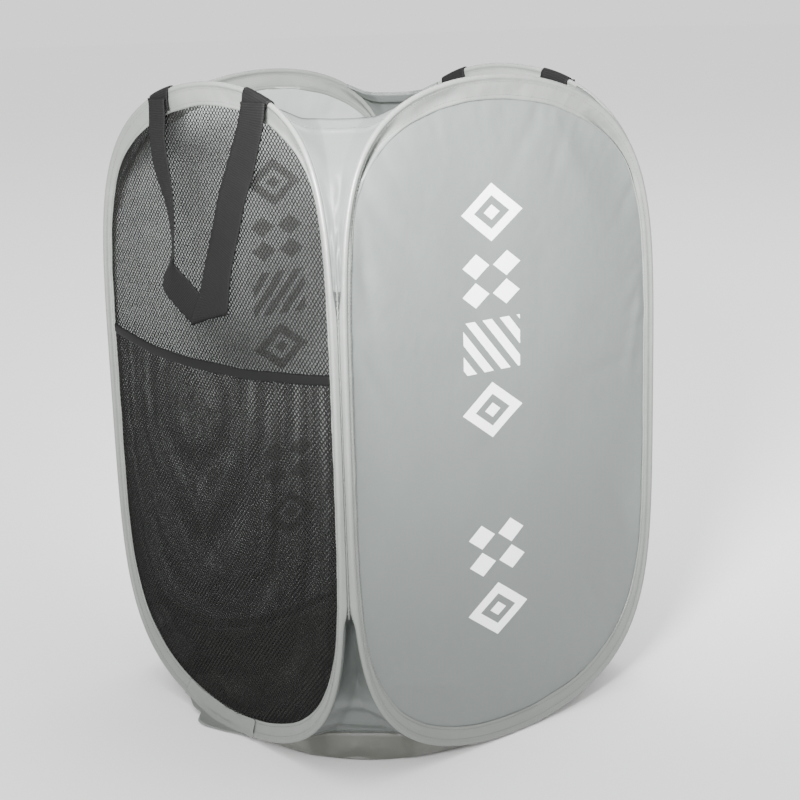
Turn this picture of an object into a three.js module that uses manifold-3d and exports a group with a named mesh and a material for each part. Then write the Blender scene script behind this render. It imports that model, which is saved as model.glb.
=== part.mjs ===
// A pop up laundry hamper: four spring wire hoops in cloth bindings make the four walls of an
// open square basket. One wall is netting with a net pocket, three are cloth, and cloth
// gussets close the corners above and below the stitched corner seams. Millimetres, +Z up,
// origin under the middle of the base. The netted wall faces -Y.
import * as THREE from "three";
import { TessellateModifier } from "three/addons/modifiers/TessellateModifier.js";
import { mergeVertices } from "three/addons/utils/BufferGeometryUtils.js";
import Module from "manifold-3d";

const wasm = await Module();
wasm.setup();

// Overall layout
const seamSpacing = 370; // between neighbouring corner seams, which are the fold lines
const hoopHeight = 600;
const sideFlatShare = 0.11; // straightens the hoop's sides
const crownShare = 0.026; // rounds the hoop's top and bottom
const crownLean = 20; // of a hoop's top, sideways towards the front right or back left corner
const leanPower = 4; // of the height above the hoop's middle, that the lean grows with
const hoopSteps = 48;
const fit = 0.3; // gap kept between touching pieces

// Spring wire and the crimped ferrule that joins its ends
const wireRadius = 0.95;
const wireSides = 5;
const ferruleRadius = 1.6;
const ferruleLength = 24;
const ferruleSides = 8;
const ferruleStation = 1; // step of the hoop, counted from its lowest point
const boreOverrun = 2;

// Cloth binding folded over the wire
const tunnelRadius = 2.2;
const bindingCloth = 0.6;
const bindingDepth = 18; // from the wire's centre to the binding's free edge
const foldFacets = 5;
const foldLineGap = 0.22; // from a hoop's binding to the fold line beside it

// Cloth and net panels
const panelCloth = 0.5;
const sewnEdge = 2.6; // from the wire's centre to the panel's hidden edge
const netBar = 3.4;
const netPitchAcross = 36;
const netPitchUp = 52;
const leastOpeningShare = 0.3; // of a whole opening, for one cut by the net's edge
const netMargin = 1.5; // solid net left beside the binding

// Pocket on the netted wall
const pocketHeight = 366; // of its mouth at the sides
const pocketSag = 9; // of its mouth in the middle
const pocketSlack = 18; // that its mouth stands off the wall
const pocketSeam = 5; // that its edge laps over the binding
const pocketMargin = 12;
const mouthSteps = 16;
const longestNetEdge = 32; // that still follows the pocket's bulge
const netEdgeHalvings = 8;
const tapeWidth = 9;
const tapeCloth = 0.6;

// Corner seams and gussets
const seamRadius = 1.4;
const seamSides = 8;
const seamLow = 160;
const seamTopDrop = 160; // of the seams' tops, below the hoops' tops
const gussetCloth = 0.8;
const gussetColumns = 4;
const hemDrop = 28; // of the gussets' hem, below the hoops' tops
const hemWidth = 9;
const hemCloth = 1.6;
const upperSagShare = 0.05; // of the gusset's width at that height

// Base pouch
const baseHeight = 28;
const baseCloth = 1.2;
const floorInset = 5; // of the floor's middle, in from the rim's
const floorRoundness = 2.6; // power of the rounded square
const rimRoundness = 8;
const rimCornerShare = 1.45; // of the rim's half width: how far out its cut corners lie
const baseSteps = 40;

// Webbing handles
const webbingWidth = 36;
const webbingThickness = 1.2;
const tabSpacing = 150;
const tabDepth = 16; // sewn length down each side of the rim
const tabThickness = 1;
const handleDrop = 190; // from the hinge line to the loop's lowest middle point
const hingeBelowRim = 4;
const legShare = 0.42; // of the drop, where the legs start to draw in
const bendShare = 0.64; // of the half spacing, where they meet the bottom bend
const handleSteps = 22;

// Materials
const cloth = { color: 0xbfc4c0, roughness: 0.62, metalness: 0 };
const netting = { color: 0x1d1d1f, roughness: 0.8, metalness: 0 };
const webbing = { color: 0x121214, roughness: 0.75, metalness: 0 };
const springSteel = { color: 0x8d9094, roughness: 0.35, metalness: 1 };
const crimpSteel = { color: 0xa9abad, roughness: 0.45, metalness: 1 };

// Sizes that follow from those above
const quarterTurn = Math.PI / 2;
const flangeInner = panelCloth / 2 + fit;
const flangeOuter = flangeInner + bindingCloth;
const foldRadius = tunnelRadius + bindingCloth;
const foldOpening = Math.asin(flangeOuter / foldRadius);
const foldFacet = (2 * Math.PI - 2 * foldOpening) / foldFacets;
const foldReach = foldRadius / Math.cos(foldFacet / 2); // out to the fold's edges
const hoopHalfWidth = seamSpacing / 2 - foldRadius - foldLineGap;
const hoopHalfHeight = hoopHeight / 2 - foldRadius;
const wallOffset = seamSpacing / 2 + foldReach + foldLineGap; // from the middle to a wall
const rimHalfWidth = wallOffset - flangeOuter - fit;
const floorHalfWidth = rimHalfWidth - floorInset;
const seamHigh = hoopHeight - seamTopDrop;
const hemHeight = hoopHeight - hemDrop;
const netInset = bindingDepth + netMargin;
const pocketInset = bindingDepth - pocketSeam;
const pocketStart = flangeOuter + fit; // of the pocket's inner face off the wall
const gussetStart = foldReach + fit; // of a gusset's edge off the wire's centre

// Solids from rings, plates and cuts

// One closed surface from points and triangles, turned so that its faces point outwards.
function closedSurface(points, triangles) {
  let volume = 0;
  for (const [a, b, c] of triangles)
    volume += points[a].dot(points[b].clone().cross(points[c]));
  const outward = volume > 0 ? triangles : triangles.map(([a, b, c]) => [a, c, b]);
  const geometry = new THREE.BufferGeometry().setFromPoints(points);
  geometry.setIndex(outward.flat());
  return geometry;
}

// A solid through a row of rings with the same number of points. Open rows get flat ends,
// whose triangles follow the section's outline.
function throughRings(rings, closed, section) {
  const sides = rings[0].length;
  const triangles = [];
  const last = closed ? rings.length : rings.length - 1;
  for (let i = 0; i < last; i++)
    for (let j = 0; j < sides; j++) {
      const a = i * sides + j;
      const b = i * sides + ((j + 1) % sides);
      const shift = (((i + 1) % rings.length) - i) * sides;
      triangles.push([a, b, b + shift], [a, b + shift, a + shift]);
    }
  if (!closed) {
    const end = (rings.length - 1) * sides;
    const { area, triangulateShape } = THREE.ShapeUtils;
    for (const [a, b, c] of triangulateShape([...section], [])) {
      const sameWay = area([section[a], section[b], section[c]]) * area(section) > 0;
      const [d, e] = sameWay ? [b, c] : [c, b];
      triangles.push([a, e, d], [end + a, end + d, end + e]);
    }
  }
  return closedSurface(rings.flat(), triangles);
}

function solidOf(geometry) {
  const bare = geometry.index ? geometry.toNonIndexed() : geometry.clone();
  bare.deleteAttribute("normal");
  bare.deleteAttribute("uv");
  const merged = mergeVertices(bare);
  const vertProperties = merged.attributes.position.array;
  const triVerts = new Uint32Array(merged.index.array);
  return new wasm.Manifold(new wasm.Mesh({ numProp: 3, vertProperties, triVerts }));
}

function cutFrom(body, tool) {
  const mesh = solidOf(body).subtract(solidOf(tool)).getMesh();
  const geometry = new THREE.BufferGeometry();
  geometry.setAttribute("position", new THREE.BufferAttribute(mesh.vertProperties, 3));
  geometry.setIndex(new THREE.BufferAttribute(mesh.triVerts, 1));
  return geometry;
}

// A flat plate on a wall. The outline is in (across, up), and the plate's faces lie at
// `start` and `start + thickness` outwards from the wall's middle.
function wallPlate(outline, holes, start, thickness) {
  const shape = new THREE.Shape(outline);
  shape.holes = holes.map((corners) => new THREE.Path(corners));
  const settings = { depth: thickness, bevelEnabled: false };
  const geometry = new THREE.ExtrudeGeometry(shape, settings);
  return geometry.rotateX(quarterTurn).translate(0, -start, 0);
}

// A hoop's line, as points in (across, up) with the inward direction at each, stretched
// so that every offset line runs parallel to the hoop's own
function hoopLine(lean) {
  const points = [];
  for (let i = 0; i < hoopSteps; i++) {
    const turn = (i / hoopSteps) * 2 * Math.PI - quarterTurn;
    const across = (Math.cos(turn) - sideFlatShare * Math.cos(3 * turn)) / (1 - sideFlatShare);
    const up = (Math.sin(turn) + crownShare * Math.sin(3 * turn)) / (1 - crownShare);
    const x = hoopHalfWidth * across + lean * Math.max(up, 0) ** leanPower;
    const z = hoopHeight / 2 + hoopHalfHeight * up;
    points.push(new THREE.Vector2(x, z));
  }
  const inward = points.map((here, i) => {
    const before = here.clone().sub(points[(i + hoopSteps - 1) % hoopSteps]).normalize();
    const after = points[(i + 1) % hoopSteps].clone().sub(here).normalize();
    const along = before.clone().add(after).normalize();
    const stretch = 1 / along.dot(after);
    return new THREE.Vector2(-along.y, along.x).multiplyScalar(stretch);
  });
  return points.map((point, i) => ({ point, inward: inward[i] }));
}

// The hoop of the wall that is being made
let hoop = hoopLine(crownLean);

// The place on the hoop at a station, whole or between two steps
function hoopAt(station) {
  const low = Math.floor(station);
  const share = station - low;
  const wrap = (i) => hoop[((i % hoopSteps) + hoopSteps) % hoopSteps];
  const [a, b] = [wrap(low), wrap(low + 1)];
  const point = a.point.clone().lerp(b.point, share);
  return { point, inward: a.inward.clone().lerp(b.inward, share) };
}

// A point off the hoop, as (across, up)
function offHoop(station, inwards) {
  const { point, inward } = hoopAt(station);
  return point.clone().addScaledVector(inward, inwards);
}

// The same in three dimensions, on a wall that faces -Y
function spot(station, inwards, outwards) {
  const flat = offHoop(station, inwards);
  return new THREE.Vector3(flat.x, -outwards, flat.y);
}

// The station that lies a distance further along the hoop than another
function alongHoop(station, distance) {
  const way = Math.sign(distance);
  let left = Math.abs(distance);
  let here = station;
  for (;;) {
    const next = way > 0 ? Math.floor(here) + 1 : Math.ceil(here) - 1;
    const length = hoopAt(here).point.distanceTo(hoopAt(next).point);
    if (length >= left) return here + (next - here) * (left / length);
    left -= length;
    here = next;
  }
}

// The station on the right side of the hoop where a line inwards of it is at a height
function stationAtHeight(height, inwards) {
  for (let i = 0; i < hoopSteps / 2; i++) {
    const [low, high] = [offHoop(i, inwards).y, offHoop(i + 1, inwards).y];
    if (height <= high) return i + (height - low) / (high - low);
  }
  return hoopSteps / 2;
}

// The middle between the hoop's sides at a station's height
function middleAcross(station) {
  return (hoopAt(station).point.x + hoopAt(hoopSteps - station).point.x) / 2;
}

// The station on the upper right of the hoop where its half width is as given
function stationOfHalfWidth(halfWidth) {
  const halfWidthAt = (i) => hoopAt(i).point.x - middleAcross(i);
  for (let i = hoopSteps / 4; i < hoopSteps / 2; i++) {
    const [wide, narrow] = [halfWidthAt(i), halfWidthAt(i + 1)];
    if (halfWidth >= narrow) return i + (wide - halfWidth) / (wide - narrow);
  }
  return hoopSteps / 2;
}

// Both ends of a run and every whole step between them
function stationsBetween(first, last) {
  const run = [first];
  for (let i = Math.floor(first) + 1; i < last; i++) run.push(i);
  return [...run, last];
}

// A section of (inwards, outwards) points carried along the hoop
function alongStations(section, run, closed) {
  const rings = run.map((station) => section.map((p) => spot(station, p.x, p.y)));
  return throughRings(rings, closed, section);
}

function roundSection(radius, sides) {
  return Array.from({ length: sides }, (_, i) => {
    const turn = (i / sides) * 2 * Math.PI;
    return new THREE.Vector2(radius * Math.cos(turn), radius * Math.sin(turn));
  });
}

// A strip folded over an edge at the origin: two legs of the given length, with a gap of
// twice `halfGap` between them and `headroom` over the edge
function foldedStrip(length, halfGap, headroom, thickness) {
  const outerGap = halfGap + thickness;
  const top = headroom + thickness;
  return [
    [length, outerGap],
    [-top, outerGap],
    [-top, -outerGap],
    [length, -outerGap],
    [length, -halfGap],
    [-headroom, -halfGap],
    [-headroom, halfGap],
    [length, halfGap],
  ].map(([inwards, outwards]) => new THREE.Vector2(inwards, outwards));
}

// Pieces of a wall

function hoopWire() {
  const first = alongHoop(ferruleStation, fit / 2);
  const last = alongHoop(ferruleStation, -fit / 2) + hoopSteps;
  const section = roundSection(wireRadius, wireSides);
  return alongStations(section, stationsBetween(first, last), false);
}

function hoopFerrule() {
  const sleeve = (radius, length) => {
    const ends = [-length / 2, length / 2].map((d) => alongHoop(ferruleStation, d));
    const run = [ends[0], ferruleStation, ends[1]];
    return alongStations(roundSection(radius, ferruleSides), run, false);
  };
  const boreRadius = (wireRadius + fit) / Math.cos(Math.PI / ferruleSides);
  const bore = sleeve(boreRadius, ferruleLength + boreOverrun);
  return cutFrom(sleeve(ferruleRadius, ferruleLength), bore);
}

// The binding's section: two flanges that hold the panel, joined by the fold over the wire
function hoopBinding() {
  const outer = [];
  const inner = [];
  for (let i = 0; i <= foldFacets; i++) {
    const turn = foldOpening + i * foldFacet;
    const atFlange = i === 0 || i === foldFacets;
    const side = i === 0 ? 1 : -1;
    const reach = atFlange ? foldRadius : foldReach;
    outer.push([reach * Math.cos(turn), reach * Math.sin(turn)]);
    const innerReach = tunnelRadius / Math.cos(foldFacet / 2);
    const flangeRoot = Math.sqrt(tunnelRadius ** 2 - flangeInner ** 2);
    const onArc = [innerReach * Math.cos(turn), innerReach * Math.sin(turn)];
    inner.push(atFlange ? [flangeRoot, side * flangeInner] : onArc);
  }
  const section = [
    [bindingDepth, flangeOuter],
    ...outer,
    [bindingDepth, -flangeOuter],
    [bindingDepth, -flangeInner],
    ...inner.reverse(),
    [bindingDepth, flangeInner],
  ].map(([inwards, outwards]) => new THREE.Vector2(inwards, outwards));
  return alongStations(section, [...hoop.keys()], true);
}

function hoopOutline(inset) {
  return hoop.map((_, i) => offHoop(i, inset));
}

function clothPanel() {
  return wallPlate(hoopOutline(sewnEdge), [], -panelCloth / 2, panelCloth);
}

// Diamond openings in rows that step sideways by half a pitch, cut along the region's edge
function netOpenings(region) {
  const [across, up] = [netPitchAcross / 2, netPitchUp / 2];
  const toEdge = (across * up) / Math.hypot(across, up);
  const scale = 1 - netBar / 2 / toEdge;
  const corners = [
    [across * scale, 0],
    [0, up * scale],
    [-across * scale, 0],
    [0, -up * scale],
  ].map(([x, y]) => new THREE.Vector2(x, y));
  const columns = Math.ceil(hoopHalfWidth / netPitchAcross);
  const rows = Math.ceil(hoopHalfHeight / up);
  const diamonds = [];
  for (let row = -rows; row <= rows; row++)
    for (let column = -columns; column <= columns; column++) {
      const x = (column + (row % 2 ? 1 / 2 : 0)) * netPitchAcross;
      const middle = new THREE.Vector2(x, hoopHeight / 2 + row * up);
      diamonds.push(corners.map((corner) => corner.clone().add(middle).toArray()));
    }
  const edge = region.map((corner) => corner.toArray());
  const flat = (polygons) => new wasm.CrossSection(polygons, "NonZero");
  const { area } = THREE.ShapeUtils;
  const least = Math.abs(area(corners)) * leastOpeningShare;
  return flat(diamonds)
    .intersect(flat([edge]))
    .toPolygons()
    .map((polygon) => polygon.map(([x, y]) => new THREE.Vector2(x, y)))
    .filter((polygon) => Math.abs(area(polygon)) > least);
}

function netPanel() {
  const openings = netOpenings(hoopOutline(netInset));
  return wallPlate(hoopOutline(sewnEdge), openings, -panelCloth / 2, panelCloth);
}

// How far the pocket stands off the wall: most in the middle of its mouth, and nothing
// where it is sewn down
function pocketBulge(across, up) {
  const low = hoopAt(0).point.y + pocketInset;
  const share = Math.min(Math.max((up - low) / (pocketHeight - low), 0), 1);
  const halfWidth = offHoop(stationAtHeight(up, pocketInset), pocketInset).x;
  const sideways = Math.max(1 - (across / halfWidth) ** 2, 0);
  return pocketSlack * sideways * Math.sin(share * quarterTurn);
}

// The mouth's line from the right to the left, between two places across
function mouthLine(halfWidth, drop) {
  const sewn = stationAtHeight(pocketHeight, pocketInset);
  const sewnHalfWidth = offHoop(sewn, pocketInset).x;
  return Array.from({ length: mouthSteps + 1 }, (_, i) => {
    const x = halfWidth * (1 - (2 * i) / mouthSteps);
    const sag = pocketSag * (1 - (x / sewnHalfWidth) ** 2);
    return new THREE.Vector2(x, pocketHeight - sag - drop);
  });
}

function pocketOutline(inset, drop) {
  const right = stationAtHeight(pocketHeight - drop, inset);
  const run = stationsBetween(hoopSteps - right, hoopSteps + right);
  const sewn = run.map((station) => offHoop(station, inset));
  const mouth = mouthLine(sewn[sewn.length - 1].x, drop);
  return [...sewn, ...mouth.slice(1, -1)];
}

function pocketNet() {
  const openings = netOpenings(pocketOutline(pocketInset + netMargin, pocketMargin));
  const outline = pocketOutline(pocketInset, 0);
  const flat = wallPlate(outline, openings, pocketStart, panelCloth);
  const geometry = new TessellateModifier(longestNetEdge, netEdgeHalvings).modify(flat);
  const places = geometry.attributes.position;
  for (let i = 0; i < places.count; i++) {
    const bulge = pocketBulge(places.getX(i), places.getZ(i));
    places.setY(i, places.getY(i) - bulge);
  }
  return geometry;
}

function pocketTape() {
  const middle = pocketStart + panelCloth / 2;
  const strip = foldedStrip(tapeWidth, flangeInner, fit, tapeCloth);
  const tapeInset = bindingDepth + fit;
  const end = offHoop(stationAtHeight(pocketHeight, tapeInset), tapeInset).x;
  const rings = mouthLine(end, 0).map((here) =>
    strip.map((p) => {
      const up = here.y - p.x;
      const outwards = middle + p.y + pocketBulge(here.x, up);
      return new THREE.Vector3(here.x, -outwards, up);
    }),
  );
  return throughRings(rings, false, strip);
}

// Handles

const tabHalfGap = foldReach + fit;
const tabFace = tabHalfGap + tabThickness;
const handleStart = tabFace + fit + webbingThickness / 2; // of the loop's middle
const tabStation = stationOfHalfWidth(tabSpacing / 2); // of the tab on the right
const handleMiddle = middleAcross(tabStation);
const hingeHeight = hoopAt(tabStation).point.y - hingeBelowRim;

function handleTab(side) {
  const centre = side > 0 ? tabStation : hoopSteps - tabStation;
  const first = alongHoop(centre, -webbingWidth / 2);
  const last = alongHoop(centre, webbingWidth / 2);
  const strip = foldedStrip(tabDepth, tabHalfGap, foldRadius + fit, tabThickness);
  return alongStations(strip, stationsBetween(first, last), false);
}

function handleLoop() {
  const top = new THREE.Vector2(tabSpacing / 2, hingeHeight);
  const leg = new THREE.Vector2(top.x, hingeHeight - handleDrop * legShare);
  const bend = new THREE.Vector2(top.x * bendShare, hingeHeight - handleDrop);
  const bottom = new THREE.Vector2(0, bend.y);
  const mirrored = (p) => new THREE.Vector2(-p.x, p.y);
  const path = new THREE.CurvePath();
  path.add(new THREE.CubicBezierCurve(top, leg, bend, bottom));
  const left = [bottom, mirrored(bend), mirrored(leg), mirrored(top)];
  path.add(new THREE.CubicBezierCurve(...left));
  const [half, thin] = [webbingWidth / 2, webbingThickness / 2];
  const section = [
    [half, thin],
    [-half, thin],
    [-half, -thin],
    [half, -thin],
  ].map(([sideways, outwards]) => new THREE.Vector2(sideways, outwards));
  const rings = Array.from({ length: handleSteps + 1 }, (_, i) => {
    const here = path.getPointAt(i / handleSteps);
    const along = path.getTangentAt(i / handleSteps);
    const sideways = new THREE.Vector2(-along.y, along.x);
    return section.map((p) => {
      const flat = here.clone().addScaledVector(sideways, p.x);
      return new THREE.Vector3(handleMiddle + flat.x, -handleStart - p.y, flat.y);
    });
  });
  return throughRings(rings, false, section);
}

// Corners. Each is made for the corner between the walls that face -Y and +X.

function cornerSeam() {
  const length = seamHigh - seamLow;
  const geometry = new THREE.CylinderGeometry(seamRadius, seamRadius, length, seamSides);
  geometry.rotateX(quarterTurn);
  const place = seamSpacing / 2;
  return geometry.translate(place, -place, (seamLow + seamHigh) / 2);
}

const diagonalShare = Math.SQRT1_2;
const gussetOffset = gussetStart * diagonalShare;

function gussetStation(height) {
  return stationAtHeight(height, -gussetOffset);
}

// A cloth sheet between two hoops: one row of points for each station, each row from one
// hoop to the other, sagging inwards by a share of its width or by a stated length
function gusset(rows) {
  const rings = rows.map(({ station, cloth: thickness, sag }) => {
    const start = spot(station, -gussetOffset, -gussetOffset);
    start.y -= wallOffset;
    const end = new THREE.Vector3(-start.y, -start.x, start.z);
    const outer = [];
    const inner = [];
    for (let j = 0; j <= gussetColumns; j++) {
      const share = j / gussetColumns;
      const inwards = sag(start.distanceTo(end)) * 4 * share * (1 - share);
      const middle = start.clone().lerp(end, share);
      const shifted = (distance) =>
        middle
          .clone()
          .add(new THREE.Vector3(-distance, distance, 0).multiplyScalar(diagonalShare));
      outer.push(shifted(inwards - thickness / 2));
      inner.unshift(shifted(inwards + thickness / 2));
    }
    return [...outer, ...inner];
  });
  const flat = rings[0].map((p) => new THREE.Vector2(p.x + p.y, p.x - p.y));
  return throughRings(rings, false, flat);
}

function upperGusset() {
  const sag = (width) => width * upperSagShare;
  const foot = gussetStation(seamHigh + fit);
  const hemFoot = gussetStation(hemHeight - hemWidth);
  const body = stationsBetween(foot, hemFoot);
  const hem = stationsBetween(hemFoot, gussetStation(hemHeight));
  return gusset([
    ...body.map((station) => ({ station, cloth: gussetCloth, sag })),
    ...hem.map((station) => ({ station, cloth: hemCloth, sag })),
  ]);
}

// How far the base pouch's floor and rim reach in a direction, as a share of their half
// widths. The floor is a rounded square, and the rim also has its corners cut off.

function floorReach(c, s) {
  return (c ** floorRoundness + s ** floorRoundness) ** (-1 / floorRoundness);
}

function rimReach(c, s) {
  const power = rimRoundness;
  const corner = (c + s) / rimCornerShare;
  return (c ** power + s ** power + corner ** power) ** (-1 / power);
}

// The lower gusset is drawn in towards its foot, where it meets the base pouch's rim.
function lowerGusset() {
  const foot = gussetStation(baseHeight + fit);
  const top = gussetStation(seamLow - fit);
  const acrossAt = (station) => spot(station, -gussetOffset, 0).x;
  const halfPlan = wallOffset - gussetOffset;
  const chordMiddle = (acrossAt(foot) + halfPlan) * diagonalShare;
  const rimMiddle = rimHalfWidth * rimReach(diagonalShare, diagonalShare);
  const footSag = chordMiddle - rimMiddle + baseCloth / 2;
  const widthAt = (station) => halfPlan - acrossAt(station);
  return gusset(
    stationsBetween(foot, top).map((station) => {
      const share = (widthAt(station) / widthAt(foot)) ** 2;
      return { station, cloth: gussetCloth, sag: () => footSag * share };
    }),
  );
}

// Base pouch: a flat floor with a low wall that draws in at the corners

function plan(halfWidth, reachAt, height) {
  return Array.from({ length: baseSteps }, (_, i) => {
    const turn = ((i + 1 / 2) / baseSteps) * 2 * Math.PI;
    const [c, s] = [Math.cos(turn), Math.sin(turn)];
    const reach = halfWidth * reachAt(Math.abs(c), Math.abs(s));
    return new THREE.Vector3(reach * c, reach * s, height);
  });
}

function basePouch() {
  const rings = [
    plan(floorHalfWidth, floorReach, 0),
    plan(rimHalfWidth, rimReach, baseHeight),
    plan(rimHalfWidth - baseCloth, rimReach, baseHeight),
    plan(floorHalfWidth - baseCloth, floorReach, baseCloth),
  ];
  const outline = rings[0].map((p) => new THREE.Vector2(p.x, p.y));
  return throughRings(rings, false, outline);
}

// The whole hamper

const hamper = new THREE.Group();

function addPiece(group, name, geometry, finish) {
  const mesh = new THREE.Mesh(geometry, new THREE.MeshStandardMaterial(finish));
  mesh.name = name;
  group.add(mesh);
}

function addHandle(wall, name) {
  addPiece(wall, `${name}_handle_right_tab`, handleTab(1), webbing);
  addPiece(wall, `${name}_handle_left_tab`, handleTab(-1), webbing);
  addPiece(wall, `${name}_handle`, handleLoop(), webbing);
}

const walls = ["front", "right", "back", "left"];
walls.forEach((name, i) => {
  hoop = hoopLine(i % 2 ? -crownLean : crownLean);
  const turned = new THREE.Group();
  turned.rotation.z = i * quarterTurn;
  hamper.add(turned);
  const wall = new THREE.Group();
  wall.position.y = -wallOffset;
  turned.add(wall);
  addPiece(wall, `${name}_hoop_wire`, hoopWire(), springSteel);
  addPiece(wall, `${name}_hoop_ferrule`, hoopFerrule(), crimpSteel);
  addPiece(wall, `${name}_hoop_binding`, hoopBinding(), cloth);
  if (name === "front") {
    addPiece(wall, "front_net_panel", netPanel(), netting);
    addPiece(wall, "front_pocket_net", pocketNet(), netting);
    addPiece(wall, "front_pocket_tape", pocketTape(), webbing);
  } else {
    addPiece(wall, `${name}_cloth_panel`, clothPanel(), cloth);
  }
  if (name === "front" || name === "back") addHandle(wall, name);
  const corner = `${name}_${walls[(i + 1) % walls.length]}`;
  addPiece(turned, `${corner}_corner_seam`, cornerSeam(), cloth);
  addPiece(turned, `${corner}_upper_gusset`, upperGusset(), cloth);
  addPiece(turned, `${corner}_lower_gusset`, lowerGusset(), cloth);
});
addPiece(hamper, "base_pouch", basePouch(), cloth);

export default hamper;
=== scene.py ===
# %% [markdown]
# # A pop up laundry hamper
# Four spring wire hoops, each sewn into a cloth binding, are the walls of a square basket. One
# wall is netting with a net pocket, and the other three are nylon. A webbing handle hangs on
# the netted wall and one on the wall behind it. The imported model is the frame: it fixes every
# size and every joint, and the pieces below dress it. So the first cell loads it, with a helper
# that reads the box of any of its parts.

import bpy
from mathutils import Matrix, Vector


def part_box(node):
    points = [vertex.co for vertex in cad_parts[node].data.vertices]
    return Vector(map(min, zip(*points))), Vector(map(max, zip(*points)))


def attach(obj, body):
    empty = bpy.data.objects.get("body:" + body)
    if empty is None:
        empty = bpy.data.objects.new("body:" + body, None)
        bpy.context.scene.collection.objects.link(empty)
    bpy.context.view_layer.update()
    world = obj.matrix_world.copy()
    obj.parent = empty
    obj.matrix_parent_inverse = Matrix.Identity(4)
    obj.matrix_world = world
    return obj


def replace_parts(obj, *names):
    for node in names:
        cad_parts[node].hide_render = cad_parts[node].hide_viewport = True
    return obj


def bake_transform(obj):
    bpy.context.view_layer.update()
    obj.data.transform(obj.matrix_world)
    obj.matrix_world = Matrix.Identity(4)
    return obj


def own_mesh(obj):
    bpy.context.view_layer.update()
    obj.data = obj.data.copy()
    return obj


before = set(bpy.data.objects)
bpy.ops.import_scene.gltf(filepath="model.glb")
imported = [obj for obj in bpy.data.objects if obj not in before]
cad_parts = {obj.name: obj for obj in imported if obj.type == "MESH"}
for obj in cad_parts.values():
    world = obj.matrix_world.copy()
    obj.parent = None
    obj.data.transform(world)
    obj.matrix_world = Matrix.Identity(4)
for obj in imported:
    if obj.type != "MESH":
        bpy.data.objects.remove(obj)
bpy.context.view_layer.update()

import math

import bpy
import numpy as np
from mathutils import Matrix, Vector

# %% [markdown]
# ## Sizes
# Lengths are in metres. What the frame already knows is read from it. The sizes of cloth,
# thread and webbing belong to the sewing and not to the frame, and come where each is first
# needed.

# %% Sizes
MM = 0.001
SEAM = 185 * MM  # from the middle to each fold line, along x and along y
WALLS = ["front", "right", "back", "left"]
wall_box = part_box("front_net_panel")
WALL = -(wall_box[0].y + wall_box[1].y) / 2  # from the middle to a wall's plane
wire_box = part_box("front_hoop_wire")
MIDDLE = (wire_box[0].z + wire_box[1].z) / 2  # height of the hoops' middles
print(f"walls stand {WALL / MM:.1f} mm from the middle, hoops centre on {MIDDLE / MM:.0f} mm")

# %% [markdown]
# ## The hoop's line
# Every wall is built on one closed line, the centre of its spring wire: a tall ring with
# straightened sides, whose top leans a little towards one corner. Neighbours lean opposite
# ways, so there are two such lines, mirror images of each other. They are sampled evenly along
# their length, because stitches and puckers count in lengths of cloth. At each sample there is
# a direction inwards, so any point of a wall is (along the hoop, inwards, outwards).

# %% Hoop lines
STATIONS = 720  # samples round a hoop
HALF_WIDTH, HALF_HEIGHT = 181.98 * MM, 297.2 * MM  # of the wire's centre line
SIDES, CROWN = 0.11, 0.026  # shares of a third harmonic, which straighten sides and crown
LEAN, LEAN_POWER = 20 * MM, 4  # of a hoop's top, sideways, and how it grows from the middle


class Hoop:
    def __init__(self, lean):
        turn = np.linspace(0, 2 * np.pi, 20001) - np.pi / 2  # in fine steps, from the foot
        across = (np.cos(turn) - SIDES * np.cos(3 * turn)) / (1 - SIDES)
        up = (np.sin(turn) + CROWN * np.sin(3 * turn)) / (1 - CROWN)
        x = HALF_WIDTH * across + lean * np.maximum(up, 0) ** LEAN_POWER
        line = np.stack([x, MIDDLE + HALF_HEIGHT * up], 1)
        walked = np.r_[0, np.cumsum(np.linalg.norm(np.diff(line, axis=0), axis=1))]
        wanted = np.arange(STATIONS) / STATIONS * walked[-1]
        self.line = np.stack([np.interp(wanted, walked, line[:, k]) for k in (0, 1)], 1)
        along = np.roll(self.line, -1, 0) - np.roll(self.line, 1, 0)
        along /= np.linalg.norm(along, axis=1)[:, None]
        self.inward = np.stack([-along[:, 1], along[:, 0]], 1)
        self.length = walked[-1]
        self.top = int(np.argmax(self.line[:, 1]))

    def off(self, station, inwards, outwards=0.0):
        """Points (across, up, outwards) off the wire, at stations that need not be whole."""
        station = np.asarray(station, float)
        inwards, outwards = (np.broadcast_to(v, station.shape) for v in (inwards, outwards))
        columns = [np.r_[c, c[:1]] for c in (*self.line.T, *self.inward.T)]
        x, z, dx, dz = (np.interp(station % STATIONS, np.arange(STATIONS + 1), c) for c in columns)
        return np.stack([x + inwards * dx, z + inwards * dz, outwards + 0 * x], -1)

    def rise(self, station):
        """How far up the hoop a station is, from -1 at its foot to 1 at its top."""
        return (self.off(station, 0)[..., 1] - MIDDLE) / HALF_HEIGHT

    def station(self, height, side=1):
        """The station at a height, on the right or the left side."""
        first, last = (0, self.top) if side > 0 else (self.top, STATIONS)
        heights = np.r_[self.line[:, 1], self.line[:1, 1]][first : last + 1]
        places = np.arange(first, last + 1)
        if side < 0:
            heights, places = heights[::-1], places[::-1]
        return np.interp(height, heights, places)


hoops = [Hoop(LEAN), Hoop(-LEAN), Hoop(LEAN), Hoop(-LEAN)]
print(f"one hoop takes {hoops[0].length:.3f} m of wire")

# %% [markdown]
# ## From wall to wall
# The four walls are alike, so each is worked out flat, as seen from outside: across, up, and
# outwards from the wire's plane. Two helpers then stand it up in front and turn it a quarter
# for each wall further round. Corners are turned the same way.

# %% Places on a wall
def turned(points, wall):
    """Points of the front wall's frame, turned to another wall's."""
    points = np.asarray(points, float)
    x, y, z = points[..., 0], points[..., 1], points[..., 2]
    for _ in range(wall):
        x, y = -y, x
    return np.stack([x, y, z], -1)


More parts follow.
